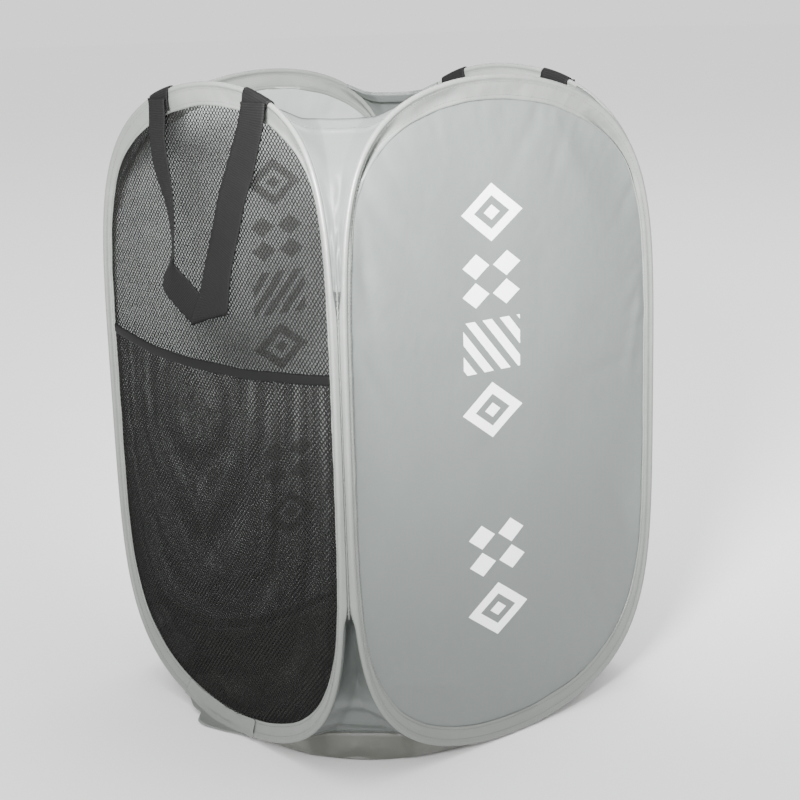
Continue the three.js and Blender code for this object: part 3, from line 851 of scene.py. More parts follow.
# %% Geometry trees
def start_tree(name, sizes):
    """A tree with a carrier, named sizes and a finish, and the wires that bring them."""
    tree = bpy.data.node_groups.new(name, "GeometryNodeTree")
    kinds = {float: "NodeSocketFloat", int: "NodeSocketInt"}
    tree.interface.new_socket("Carrier", in_out="INPUT", socket_type="NodeSocketGeometry")
    for size, kind in sizes.items():
        tree.interface.new_socket(size, in_out="INPUT", socket_type=kinds[kind])
    tree.interface.new_socket("Finish", in_out="INPUT", socket_type="NodeSocketMaterial")
    tree.interface.new_socket("Made", in_out="OUTPUT", socket_type="NodeSocketGeometry")
    bench = Bench(tree)
    return bench, dict(zip(["Carrier", *sizes, "Finish"], bench.add("NodeGroupInput")))


def end_tree(bench, made, finish):
    """Makes what the tree placed real, and gives it its finish."""
    real = bench.add("GeometryNodeRealizeInstances", None, {"Geometry": made})[0]
    sockets = {"Geometry": real, "Material": finish}
    dressed = bench.add("GeometryNodeSetMaterial", None, sockets)[0]
    bench.add("NodeGroupOutput", None, {0: dressed})


def grow(name, bench, carrier, values):
    """Runs a tree on a carrier mesh, and keeps what grows there as a piece."""
    holder = bpy.data.objects.new(name + "_holder", carrier)
    bpy.context.scene.collection.objects.link(holder)
    modifier = holder.modifiers.new("grow", "NODES")
    modifier.node_group = bench.tree
    for item in bench.tree.interface.items_tree:
        if item.in_out == "INPUT" and item.name in values:
            modifier[item.identifier] = values[item.name]
    evaluated = holder.evaluated_get(bpy.context.evaluated_depsgraph_get())
    mesh = bpy.data.meshes.new_from_object(evaluated)
    mesh.name = name
    bpy.data.objects.remove(holder)
    piece = bpy.data.objects.new(name, mesh)
    bpy.context.scene.collection.objects.link(piece)
    return piece


def carrier_mesh(points, edges=(), faces=()):
    mesh = bpy.data.meshes.new("carrier")
    edges, faces = ([tuple(int(i) for i in row) for row in rows] for rows in (edges, faces))
    mesh.from_pydata([tuple(p) for p in points], edges, faces)
    mesh.update()
    return mesh


# %% [markdown]
# ## Netting
# The front wall is a warp knitted net: slanting strands that cross in small diamonds, about
# 4.8 mm wide and 5 mm high. The tree lays out the crossings in the plane of the wall, casts
# each one onto the sheet that it is given, drops those that miss, and puts a small cross of
# two strands at the rest. So the same tree makes the flat wall and the bulging pocket.

# %% Net tree
NET_SIZES = {"Columns": int, "Rows": int, "Across": float, "Up": float, "Low": float}
NET_SIZES["Strand"] = float
BEFORE_WALL, RAY = -0.4, 1.0  # where the rays start along y, and how far they look
FLATTENING = 0.4  # of a strand's thickness, because knitted yarn lies flat
OVERLAP = 1.06  # of a strand's length, so that crosses join


def net_tree():
    bench, given = start_tree("netting", NET_SIZES)
    add = bench.add
    columns, rows, across, up = (given[n] for n in ("Columns", "Rows", "Across", "Up"))
    index = add("GeometryNodeInputIndex")[0]
    column = (index / rows + 0.0001).math("FLOOR")
    row = index - column * rows
    x = (column - columns / 2 + (row % 2) / 2) * across
    places = {0: x, 1: BEFORE_WALL, 2: given["Low"] + row * up / 2}
    place = add("ShaderNodeCombineXYZ", None, places)[0]
    points = add("GeometryNodePoints", None, {"Count": columns * rows, "Position": place})[0]
    here = add("GeometryNodeInputPosition")[0]
    cast = {"Target Geometry": given["Carrier"], "Source Position": here}
    cast.update({"Ray Direction": (0, 1, 0), "Ray Length": RAY})
    hit, hit_place, hit_normal = add("GeometryNodeRaycast", {"data_type": "FLOAT"}, cast)[:3]
    vectors = {"data_type": "FLOAT_VECTOR", "domain": "POINT"}
    named = {"Geometry": points, "Name": "facing", "Value": hit_normal}
    points = add("GeometryNodeStoreNamedAttribute", vectors, named)[0]
    missed = add("FunctionNodeBooleanMath", {"operation": "NOT"}, {0: hit})[0]
    dropped = {"Geometry": points, "Selection": missed}
    points = add("GeometryNodeDeleteGeometry", {"domain": "POINT"}, dropped)[0]
    moved = {"Geometry": points, "Position": hit_place}
    points = add("GeometryNodeSetPosition", None, moved)[0]
    length = ((across * across + up * up).math("SQRT")) / 2 * OVERLAP
    strand_sizes = {"Vertices": 4, "Side Segments": 1, "Depth": length}
    strand_sizes["Radius"] = given["Strand"] / 2
    strand = add("GeometryNodeMeshCylinder", {"fill_type": "NONE"}, strand_sizes)[0]
    angle = across.math("ARCTAN2", up)
    strands = add("GeometryNodeJoinGeometry")
    for way in (1, -1):
        turn = add("ShaderNodeCombineXYZ", None, {1: angle * way})[0]
        slanted = add("GeometryNodeTransform", None, {"Geometry": strand, "Rotation": turn})[0]
        bench.tree.links.new(slanted.socket, strands[0].socket.node.inputs[0])
    pressed = {"Geometry": strands[0], "Scale": (1, FLATTENING, 1)}
    flat = add("GeometryNodeTransform", None, pressed)[0]
    vectors = {"data_type": "FLOAT_VECTOR"}
    facing = add("GeometryNodeInputNamedAttribute", vectors, {"Name": "facing"})[0]
    turn = add("FunctionNodeAlignRotationToVector", {"axis": "Y"}, {"Vector": facing})[0]
    placed = {"Points": points, "Instance": flat, "Rotation": turn}
    crosses = add("GeometryNodeInstanceOnPoints", None, placed)[0]
    end_tree(bench, crosses, given["Finish"])
    return bench


netting = net_tree()
print("nodes in the netting's tree:", len(netting.tree.nodes))

# %% [markdown]
# ## The wall's net
# The crossings are cast onto the front hoop's sheet, whose rows are first drawn together in
# the middle, so that no hole is left there. The net is made in two parts, which meet behind
# the pocket's mouth, because one would be too heavy to export whole.

# %% Net of the wall
NET_ACROSS, NET_UP, STRAND = 4.75 * MM, 5.0 * MM, 1.2 * MM
NET_COLUMNS = 82  # more than the widest place needs, because misses are dropped


def make_net(name, grid, low, high, closed_rows=False):
    rows, columns = grid.shape[:2]
    carrier = carrier_mesh(grid.reshape(-1, 3), faces=grid_faces(rows, columns, closed_rows))
    values = {"Columns": NET_COLUMNS, "Rows": int((high - low) / NET_UP * 2), "Low": low}
    values.update({"Across": NET_ACROSS, "Up": NET_UP, "Strand": STRAND, "Finish": net_fibre})
    piece = grow(name, netting, carrier, values)
    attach(piece, "front_wall")
    crosses = len(piece.data.polygons) / 8
    cloth = crosses * NET_ACROSS * NET_UP / 2
    flat = declare_sheet(piece, area=cloth)
    print(f"{name}: {crosses:.0f} crosses, flat size and area {flat}")
    return piece


def filled(grid):
    """The same grid with its last column drawn together in the middle."""
    middle = np.broadcast_to(grid[:, -1:].mean(0, keepdims=True), grid[:, -1:].shape)
    return np.concatenate([grid, middle], 1)


front_grid = filled(sewn_grid(0))
NET_LOW, SPLIT, NET_HIGH = 5 * MM, 360 * MM, 596 * MM
for name, low, high in (("upper_net", SPLIT, NET_HIGH), ("lower_net", NET_LOW, SPLIT)):
    net = make_net(name, front_grid, low, high, closed_rows=True)
    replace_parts(net, "front_net_panel")

# %% [markdown]
# ## Pocket
# A second layer of the same netting makes a deep pocket over the lower part of the front wall.
# It is sewn in with the wall round its edge and stands off it in the middle, most at the mouth.
# The mouth hangs in a slack, slightly wavy line, because the net stretches it.

# %% Pocket
MOUTH, SAG, BULGE = 366 * MM, 9 * MM, 17 * MM  # its height, and how far it hangs and swells
POCKET_LOW, POCKET_HIGH = 14 * MM, 368 * MM
STEP_BACK = 3.3 * MM  # of the pocket's sewn edge, behind the wire's plane


def pocket_edge(height):
    """Half the pocket's width at a height."""
    run = np.arange(hoops[0].top)
    edge = hoops[0].off(run, band_width(hoops[0].rise(run)) - TUCK)
    return np.interp(height, edge[:, 1], edge[:, 0])


def mouth_height(across, half):
    wave = waves(across, 0 * across, 31, 0.12) * 1.6 * MM
    return MOUTH - SAG * (1 - (across / half) ** 2) + wave


def pocket_point(across, up, half):
    share = np.clip((up - POCKET_LOW) / (MOUTH - POCKET_LOW), 0, 1)
    sideways = np.maximum(1 - (across / half) ** 2, 0)
    stand = BULGE * sideways**0.8 * np.sin(share * np.pi / 2)
    stand = stand + waves(across, up, 33, 0.18, 7) * 0.8 * MM * sideways * share
    return np.stack([across, up, -STEP_BACK + stand + 1.9 * MM * sideways], -1)


def pocket_grid(rows=60, columns=61):
    bottom = hoops[0].off(0, band_width(-1.0) - TUCK)[1]
    share = np.linspace(0, 1, rows)[:, None]
    side = np.linspace(-1, 1, columns)[None, :]
    height = bottom + (MOUTH - bottom) * share**1.5
    half = pocket_edge(np.minimum(height, MOUTH))
    across = half * np.sin(side * np.pi / 2)
    top = mouth_height(across, half)
    up = bottom + (top - bottom) * share**1.5
    return on_wall(pocket_point(across, up, half), 0)


pocket = make_net("pocket_net", pocket_grid(), NET_LOW + NET_UP / 4, POCKET_HIGH)
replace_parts(pocket, "front_pocket_net")

# %% [markdown]
# ## The pocket's tape
# A black tape finishes the mouth: a strip folded over the net's edge and sewn through both. One
# section, of seven points from one free edge over the fold to the other, is carried along the
# mouth's line, so the tape hangs and stands off as the net does.

# %% Pocket tape
# The section's points: how far up the tape's width, and how far proud of the net in millimetres
TAPE_SECTION = [(0, -0.65), (0.12, -0.8), (0.9, -0.8), (1.0, 0.0)]
TAPE_SECTION += [(share, -proud) for share, proud in TAPE_SECTION[2::-1]]
TAPE_WIDTH, TAPE = 7.5 * MM, 0.5 * MM


def tape_grid(columns=81):
    half = pocket_edge(np.array(MOUTH)) + 0.6 * MM
    across = np.linspace(-half, half, columns)
    top = mouth_height(across, half)
    rows = []
    for share, proud in TAPE_SECTION:
        up = top - TAPE_WIDTH * (1 - share) + (0.8 * MM if share == 1 else 0)
        spot = pocket_point(across, np.minimum(up, top), half)
        spot[:, 1] = up
        spot[:, 2] += proud * MM
        rows.append(spot)
    return on_wall(np.stack(rows, 0), 0)


tape = cloth_shell("pocket_tape", tape_grid(), TAPE, tape_cloth)
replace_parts(tape, "front_pocket_tape")
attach(tape, "front_wall")
print("pocket mouth", declare_sheet(tape))

# %% [markdown]
# ## Across a corner
# Neighbouring hoops are tacked together along the middle of their sides. Above and below that
# seam they part, and a gusset closes each corner. A gusset is one trapezoid of nylon: it leaves
# each hoop square to its wall, folds, and runs straight across. The row of points across a
# corner is worked out at each height: a line with two folds, which a blur then softens, as
# cloth does. All of it is worked out at the front right corner, and turned to the others.

# %% Corner plan
HEM_HEIGHT = 572 * MM  # of the gussets' free edge
SHARES = np.linspace(0, 1, 45)  # of the way across a corner
FINE = 140  # steps in which a row is softened


def hoop_side(corner, height):
    """How far to the side a hoop's wire is, at a height."""
    hoop = hoops[corner]
    return hoop.off(hoop.station(height), 0)[..., 0]


def mirrored(point):
    """A point's mirror image across the corner's diagonal."""
    return np.array([-point[1], -point[0]])


def corner_plan(corner, height, depth, most=0.62, soft=17):
    """Points across a corner at a height, folded at a depth that keeps to a share of the gap."""
    x = float(hoop_side(corner, np.array(height)))
    start = np.array([x + 1.4 * MM, -WALL + 2.0 * MM])
    gap = WALL - x
    fold = np.array([x + (1.6 + 0.12 * depth / MM) * MM, -WALL + min(depth, gap * most)])
    line = np.array([start, fold, mirrored(fold), mirrored(start)])
    walked = np.r_[0, np.cumsum(np.linalg.norm(np.diff(line, axis=0), axis=1))]
    fine = np.linspace(0, walked[-1], FINE + 1)
    row = np.stack([np.interp(fine, walked, line[:, k]) for k in (0, 1)], 1)
    blur, edge = np.hanning(soft + 2)[1:-1], soft // 2
    before, after = 2 * row[0] - row[edge:0:-1], 2 * row[-1] - row[-2 : -2 - edge : -1]
    padded = np.concatenate([before, row, after])
    row = np.stack([np.convolve(padded[:, k], blur / blur.sum(), "valid") for k in (0, 1)], 1)
    return np.stack([np.interp(SHARES * FINE, np.arange(FINE + 1), row[:, k]) for k in (0, 1)], 1)


print(f"the hoops stand {(WALL - hoop_side(0, HEM_HEIGHT)) / MM:.0f} mm from a corner at the hem")

# %% [markdown]
# ## Gussets
# Such rows, stacked by height, are a gusset. The folds are crisp near its hem and die out in
# the seam's V. Above the seam the cloth only swells and wrinkles a little. Below it the cloth
# is slack, because the feet stand closer than the middles, so it bags in and lies in ridges.

# %% Gusset shapes
HEM = 10 * MM  # width of the hem
SEAM_LOW, SEAM_HIGH = 160 * MM, 440 * MM  # where the corner seams end
V_LAP = 4 * MM  # of a gusset's end past the end of its seam
POUCH_TOP, FOOT_BAND = 27 * MM, 6 * MM  # where the base starts, and the band sewn to it
STEP = 0.2 * MM  # between a band's last row and the single cloth's first
RIDGES = (84, -2.0, 5), (71, 5.0, 6), (57, -4.5, 5), (45, 3.6, 5), (37, -1.8, 3.5)


def bent_in(plan, inward, height):
    """A row of places: a plan, moved in towards the basket's middle."""
    return np.c_[plan[:, 0] - inward * 0.7, plan[:, 1] + inward * 0.7, height]


def upper_gusset_grid(corner, hem_rows=6, rows=42):
    foot, hem = SEAM_HIGH - V_LAP, HEM_HEIGHT
    cloth = np.linspace(foot, hem - (HEM + STEP), rows)
    side = 4 * SHARES * (1 - SHARES)
    grid = []
    for height in [*cloth, *np.linspace(hem - HEM, hem, hem_rows)]:
        share = (height - foot) / (hem - foot)
        depth = (21 if corner % 2 else 26) * MM * share**0.5 + 1.5 * MM
        plan = corner_plan(corner, height, depth, 0.5, int(17 - 10 * share) | 1)
        swell = waves(SHARES * 0.10, height + 0 * SHARES, 80 + corner, 0.055, 9)
        wide = SHARES * 0.05 * (1.2 - share)
        folds = waves(wide, 0.2 * height + 0 * SHARES, 90 + corner, 0.016)
        inward = side * (swell * 1.6 + folds * 0.9 * (1 - share) * min(share * 4, 1)) * MM
        lift = 6 * MM * smooth(0.55, 0, side) * smooth(0.8, 1, share)
        drift = (hoop_side(corner, height + lift) - hoop_side(corner, height))[:, None]
        plan = plan + np.where(SHARES[:, None] < 0.5, drift * [1, 0], drift * [0, -1])
        grid.append(bent_in(plan, inward, height - 3.0 * MM * side * share**3 + lift))
    return turned(np.array(grid), corner), slice(rows, None)


def lower_gusset_grid(corner, band_rows=6, rows=52):
    foot, top = POUCH_TOP, SEAM_LOW + V_LAP
    tilt = np.random.default_rng(104 + corner).uniform(-14, 14) * MM
    band = np.linspace(foot, foot + FOOT_BAND, band_rows)
    side = 4 * SHARES * (1 - SHARES)
    grid = []
    for height in [*band, *np.linspace(foot + (FOOT_BAND + STEP), top, rows)]:
        share = (top - height) / (top - foot)
        depth = 25 * MM * share**0.5 + 1.5 * MM
        plan = corner_plan(corner, height, depth, 0.85 - 0.23 * smooth(0.5, 1, share))
        swell = waves(SHARES * 0.09, height + 0 * SHARES, 100 + corner, 0.05, 9) * 1.2
        slope = height + (SHARES - 0.5) * tilt
        folds = sum(a * np.exp(-(((slope - z * MM) / (w * MM)) ** 2)) for z, a, w in RIDGES)
        pleat = (5 if corner % 2 else 19) * smooth(0.0, 0.14, share)
        pleat = pleat * smooth(0.72, 0.48, share) * side**0.2
        bagged = side**0.7 * (swell * share - folds) * smooth(0, 0.1, 1 - share)
        grid.append(bent_in(plan, (bagged + pleat) * MM, height + 0 * SHARES))
    return turned(np.array(grid), corner), slice(0, band_rows)


print("gusset rows:", len(upper_gusset_grid(0)[0]), "above,", len(lower_gusset_grid(0)[0]), "below")

# %% [markdown]
# ## Gussets that fold
# Each gusset's free edge is a wide hem, where doubled cloth stands proud on both faces. When
# the basket folds flat, a gusset's two edges go with different walls. One corner's walls share
# no hinge, because the four hinges close a ring that has to be open somewhere. There the
# gusset is made in two layers, a little apart, and each is attached to its own wall.

# %% Gusset cloth
CORNERS = [("front", "right"), ("right", "back"), ("back", "left"), ("left", "front")]
OPEN_CORNER = 2
GUSSET, PROUD, PINCH = 0.6 * MM, 0.35 * MM, 0.25 * MM  # thickness, a hem's rise, and beside it


def hemmed(grid, band):
    """Both faces of a gusset. The band's rows stand proud, as the doubled cloth does."""
    thickness = np.full(grid.shape[0], GUSSET)
    thickness[band] += 2 * PROUD
    thickness[band.start - 1 if band.start else band.stop] -= PINCH
    half = grid_normals(grid) * thickness[:, None, None] / 2
    return grid + half, grid - half


def follow_corner(piece, corner, layer=None):
    """Attaches a layer to its own wall, or else bakes a piece's place into its mesh."""
    first, second = CORNERS[corner]
    run, level = 45 * MM, 0.3
    start, end = turned([[SEAM - run, -SEAM, level], [SEAM, -SEAM + run, level]], corner)
    if layer:
        along_x = layer == "left"
        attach(piece, f"{layer}_wall")
        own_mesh(piece)
    elif first == "left":
        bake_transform(piece)
    else:
        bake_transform(piece)


def dress_gusset(name, corner, grid, node, band):
    """Makes a gusset's cloth: one layer, or two where it joins walls that share no fold."""
    layers = {"left": 0.8 * MM, "back": -0.8 * MM} if corner == OPEN_CORNER else {None: 0.0}
    for layer, shift in layers.items():
        moved = grid + grid_normals(grid) * shift
        title = f"{name}_{layer}_layer" if layer else name
        piece = shell_between(title, *hemmed(moved, band), shaded_gusset_nylon)
        follow_corner(piece, corner, layer)
        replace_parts(piece, node)
        declare_sheet(piece)


gusset_seams = {}
for corner, (first, second) in enumerate(CORNERS):
    title = f"{first}_{second}"
    upper, hem = upper_gusset_grid(corner)
    dress_gusset(f"{title}_top_cloth", corner, upper, f"{title}_upper_gusset", hem)
    lower, foot_band = lower_gusset_grid(corner)
    dress_gusset(f"{title}_foot_cloth", corner, lower, f"{title}_lower_gusset", foot_band)
    gusset_seams[corner] = [(upper, hem.start + 1), (lower, foot_band.stop - 2)]
print("gusset columns across a corner:", len(SHARES))

# %% [markdown]
# ## Base pouch
# A flat floor of nylon with a low wall joins the four hoops' feet. Its edge follows each hoop's
# lowest arc, and across a corner it meets the gusset's foot. Under that seam the cloth turns
# under into the floor. The grid runs round this edge and in to the middle of the floor.

# %% Base pouch
FLOOR_EDGE = 187.04 * MM - 5 * MM  # the walls' inner faces, less what the cloth turns in
GROUND, POUCH = 0.8 * MM, 0.7 * MM  # height of the floor's cloth, and its thickness
ROUNDING = 2.6  # power of the floor's outline, between a circle's 2 and a square
POUCH_ROWS = 12


def floor_reach(angle):
    c, s = np.abs(np.cos(angle)), np.abs(np.sin(angle))
    return FLOOR_EDGE * (c**ROUNDING + s**ROUNDING) ** (-1 / ROUNDING)


def pouch_rim():
    """The pouch's upper edge: along each hoop's lowest arc, then across the corner."""
    rim = []
    for wall, hoop in enumerate(hoops):
        left, right = hoop.station(POUCH_TOP, -1) - STATIONS, hoop.station(POUCH_TOP)
        arc = hoop.off(np.linspace(left, right, 71)[1:-1], 0.4 * MM, -2.1 * MM)
        rim.append(on_wall(arc, wall))
        foot = corner_plan(wall, POUCH_TOP, 26.5 * MM)[1:-1]
        rim.append(turned(np.c_[foot, np.full(len(foot), POUCH_TOP)], wall))
    return np.concatenate(rim)


def pouch_grid():
    """From the rim down and under to the floor's edge, and in to its middle."""
    rim = pouch_rim()
    angle = np.arctan2(rim[:, 1], rim[:, 0])
    reach = floor_reach(angle)
    level = np.full(len(rim), GROUND)
    foot = np.c_[np.cos(angle) * reach, np.sin(angle) * reach, level]
    bend = np.c_[rim[:, :2] * 0.35 + foot[:, :2] * 0.65, level]
    columns = []
    for t in np.linspace(0, 1, POUCH_ROWS):
        columns.append(rim * (1 - t) ** 2 + bend * 2 * t * (1 - t) + foot * t * t)
    for share in 1 - np.linspace(0, 1, POUCH_ROWS)[1:-1]:
        inner = foot * [share, share, 1]
        lift = 0.5 + 0.5 * waves(inner[:, 0], inner[:, 1], 121, 0.07, 9)
        inner[:, 2] += lift * 1.4 * MM * smooth(1, 0.8, share)
        columns.append(inner)
    grid = np.stack(columns, 1)
    place = np.unwrap(angle)[:, None] * 0.19 + 0 * grid[..., 0]
    share = np.clip(np.arange(grid.shape[1]) / (POUCH_ROWS - 1), 0, 1)[None, :]
    crease = waves(place, share * 0.03, 123, 0.028, 11) * np.sin(np.pi * share) ** 0.8
    outward = np.stack([np.cos(angle), np.sin(angle), 0 * angle], -1)[:, None, :]
    slack = np.clip(rim[:, 2] / POUCH_TOP, 0.1, 1)[:, None, None] * 1.3 * MM
    grid = grid + outward * crease[..., None] * slack
    grid[..., 2] = np.maximum(grid[..., 2], GROUND)
    return grid


rows = pouch_grid()
base_pouch = cloth_shell("base_cloth", rows, POUCH, shaded_pouch_nylon, closed_rows=True, pole=True)
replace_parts(base_pouch, "base_pouch")
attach(base_pouch, "front_wall")
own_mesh(base_pouch)
print("base cloth", declare_sheet(base_pouch))

# %% [markdown]
# ## Webbing
# Handles and tabs are made of the same ribbed webbing. Its ribs follow the strap wherever it
# turns, so its mesh carries a UV map with distances along and across it in metres. A wall's
# coordinates wouldn't do, because a twisted strap has no one direction.

# %% Webbing
WEBBING, WEB = 36 * MM, 1.25 * MM  # the webbing's width and thickness


def strap(name, grid, along, sideways):
    """Webbing on a grid of points, with its lengths along and across as a UV map."""
    rows, columns = grid.shape[:2]
    piece = cloth_shell(name, grid, WEB, webbing)
    layer = piece.data.uv_layers.new(name="strap")
    corner = np.empty(len(piece.data.loops), int)
    piece.data.loops.foreach_get("vertex_index", corner)
    corner %= rows * columns
    places = np.stack([along[corner // columns], sideways[corner % columns]], 1)
    layer.data.foreach_set("uv", places.ravel())
    return piece


print(f"webbing {WEBBING / MM:.0f} mm wide and {WEB / MM:.2f} mm thick")

# %% [markdown]
# ## Webbing tabs
# Each handle's strap goes over the rim at two places and is sewn down behind it. A tab is that
# part: webbing wrapped tightly over the rolled edge. Its path over the rim is a list of places
# off the wire, so it fits the roll wherever it sits. On the netted wall the left one is
# pinched, because its strap is twisted.

# %% Tabs
TAB_SPACING, TAB_LEG = 150 * MM, 16 * MM


def tab_stations(hoop, wanted, reach=110):
    """The stations of a wall's two tabs, level with each other on both sides of its top."""
    run = np.arange(hoop.top - reach, hoop.top + reach + 1)
    heights = hoop.off(run, 0)[:, 1]
    level = np.linspace(MIDDLE + HALF_HEIGHT * 0.9, MIDDLE + HALF_HEIGHT * 0.995, 400)
    right = np.interp(level, heights[: reach + 1], run[: reach + 1])
    left = np.interp(level, heights[: reach - 1 : -1], run[: reach - 1 : -1])
    width = hoop.off(right, 0)[:, 0] - hoop.off(left, 0)[:, 0]
    best = np.argmin(np.abs(width - wanted))
    return left[best], right[best]


TAB_BEHIND = [(TAB_LEG, -4.6 * MM), (12 * MM, -4.3 * MM), (6 * MM, -3.9 * MM), (2 * MM, -3.8 * MM)]
TAB_BEFORE = [(3 * MM, 3.9 * MM), (8 * MM, 4.1 * MM), (13 * MM, 4.2 * MM), (TAB_LEG, 4.2 * MM)]


def tab_grid(hoop, station, pinch):
    """Over the rim from the sewn end behind to the hinge in front."""
    reach, turns = ROLL + 0.9 * MM, np.linspace(0.15, math.pi - 0.1, 11)
    over = [(-reach * math.sin(a), -reach * math.cos(a)) for a in turns]
    path = np.array([*TAB_BEHIND, *over, *TAB_BEFORE])
    steps = np.r_[0, np.cumsum(np.linalg.norm(np.diff(path, axis=0), axis=1))]
    fine = np.linspace(0, steps[-1], 44)
    path = np.stack([np.interp(fine, steps, path[:, k]) for k in (0, 1)], 1)
    sideways = np.linspace(-0.5, 0.5, 13) * WEBBING
    per_step = STATIONS / hoop.length
    rows = []
    for (inwards, outwards), length in zip(path, fine):
        share = length / steps[-1]
        narrow = 1 - pinch * smooth(0.35, 0.95, share)
        bow = 0.7 * MM * (1 - (sideways / sideways[0]) ** 2) * smooth(0.2, 0.5, share)
        ripple = pinch * 2.5 * MM * np.cos(sideways / WEBBING * 9) * smooth(0.5, 1, share)
        places = station - sideways * narrow * per_step
        rows.append(hoop.off(places, inwards, outwards + (bow + ripple)))
    return np.array(rows), fine, sideways


tabs = {}
for wall, pinches in ((0, (0.30, 0.06)), (2, (0.08, 0.08))):
    name = WALLS[wall]
    tabs[wall] = tab_stations(hoops[wall], TAB_SPACING)
    for side, station, pinch in zip(("left", "right"), tabs[wall], pinches):
        rows, along, sideways = tab_grid(hoops[wall], station, pinch)
        tab = strap(f"{name}_{side}_tab", on_wall(rows, wall), along, sideways)
        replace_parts(tab, f"{name}_handle_{side}_tab")
        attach(tab, f"{name}_wall")
print("tab stations:", {WALLS[w]: np.round(t, 1).tolist() for w, t in tabs.items()})

# %% [markdown]
# ## Handle straps
# A strap hangs from its two tabs under its own weight. It can't bend in its own plane, so it
# twists and folds instead. A strap like this is easiest to make from its two edges, as points
# that belong together, with a smooth curve through each. Its ends turn back round the line on
# which it swings.

# %% Strap helpers
HINGE_OUT, HINGE_UP = 5.47 * MM, 583.03 * MM  # the swing's axis, off the wall and up


def through(points, count):
    """A smooth curve through points, with the samples evenly spread along it."""
    points = np.asarray(points, float)
    ends = np.concatenate([[2 * points[0] - points[1]], points, [2 * points[-1] - points[-2]]])
    parts = []
    for p0, p1, p2, p3 in zip(ends, ends[1:], ends[2:], ends[3:]):
        t = np.linspace(0, 1, 25)[:-1, None]
        curve = 2 * p1 + (p2 - p0) * t + (2 * p0 - 5 * p1 + 4 * p2 - p3) * t**2
        parts.append((curve + (3 * p1 - p0 - 3 * p2 + p3) * t**3) / 2)
    curve = np.concatenate(parts + [points[-1:]])
    middle = curve.reshape(len(curve), 2, -1).mean(1)
    walked = np.r_[0, np.cumsum(np.linalg.norm(np.diff(middle, axis=0), axis=1))]
    even = np.linspace(0, walked[-1], count)
    return np.stack([np.interp(even, walked, curve[:, k]) for k in range(curve.shape[1])], 1), even


def hinge_curl(left, right):
    """The strap's end, turned back round the hinge line."""
    rows = []
    for angle in np.linspace(math.radians(215), math.radians(20), 7):
        out, up = HINGE_OUT + 0.9 * MM * math.cos(angle), HINGE_UP + 0.9 * MM * math.sin(angle)
        rows.append([left, up / MM, out / MM, right, up / MM, out / MM])
    return np.array(rows)


def make_strap(name, rows, ends, wall, body, node):
    """A strap between two edges, in millimetres, with both its ends turned round the hinge."""
    rows = np.concatenate([hinge_curl(*ends[0]), rows, hinge_curl(*ends[1])[::-1]])
    curve, along = through(rows * MM, 150)
    sideways = np.linspace(-0.5, 0.5, 11)
    share = (sideways + 0.5)[None, :, None]
    grid = curve[:, None, :3] * (1 - share) + curve[:, None, 3:] * share
    ripple = waves(along[:, None], sideways[None, :] * WEBBING, 140 + wall, 0.05, 7)
    grid[..., 2] += ripple * 0.5 * MM
    piece = strap(name, on_wall(grid, wall), along, sideways * WEBBING)
    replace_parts(piece, node)
    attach(piece, body)
    return piece


print(f"the straps swing about a line {HINGE_UP / MM:.0f} mm up, {HINGE_OUT / MM:.1f} mm out")

# %% [markdown]
# ## The front strap
# From the right tab it runs down flat, folds over at the bottom, and turns edge on as it climbs
# to the left tab. No rule gives such a fold, so its edges are listed one by one.

# %% Front strap
# Left edge (across, up, outwards) and right edge, in millimetres, from the left tab round
FRONT_STRAP = [
    (-71, 579, 5.9, -44, 579, 6.4), (-73, 566, 5.2, -43, 566, 7.6),
    (-76, 551, 3.8, -42, 551, 9.4), (-73, 527, 3.6, -39, 527, 9.6),
    (-62, 496, 1.6, -30, 497, 12.2), (-58, 475, -0.2, -29, 476, 13.2),
    (-57, 456, -1.0, -29, 457, 14.6), (-60, 439, 0.0, -28, 446, 15.4),
    (-68, 422, 3.2, -36, 440, 11.0), (-66, 410, 5.0, -35, 433, 7.2),
    (-50, 400, 4.6, -21, 423, 5.2), (-34, 391, 4.2, -3, 412, 4.2),
    (-24, 386, 4.0, 16, 407, 4.0), (-21.6, 384.4, 4.9, 37.6, 401.6, 4.9),
    (-18, 391, 6.4, 39, 403, 6.4), (-4, 414, 6.8, 41, 408, 6.8),
    (13, 452, 6.4, 49, 438, 6.8), (35, 503, 5.8, 71, 492, 6.6),
    (56, 543, 5.2, 93, 534, 6.6), (69, 566, 5.6, 106, 562, 6.6),
    (75, 579, 6.1, 110, 579, 6.4),
]
FRONT_ENDS = (-71.5, -44), (75, 110)  # the same edges at the hinge, sideways
front_strap = make_strap("front_strap", FRONT_STRAP, FRONT_ENDS, 0, "front_loop", "front_handle")
print("points on each edge of the front strap:", len(FRONT_STRAP))

# %% [markdown]
# ## The back strap
# The one behind hangs evenly, so a rule does give it: its middle line is a Bezier curve and the
# curve's mirror image, and its edges lie half a width to each side. The strap leans out from
# the wall at its lowest, as webbing does that is bent round on edge.

# %% Back strap
TABS_MIDDLE = 17.4  # of the two tabs, sideways from the wall's middle, in millimetres


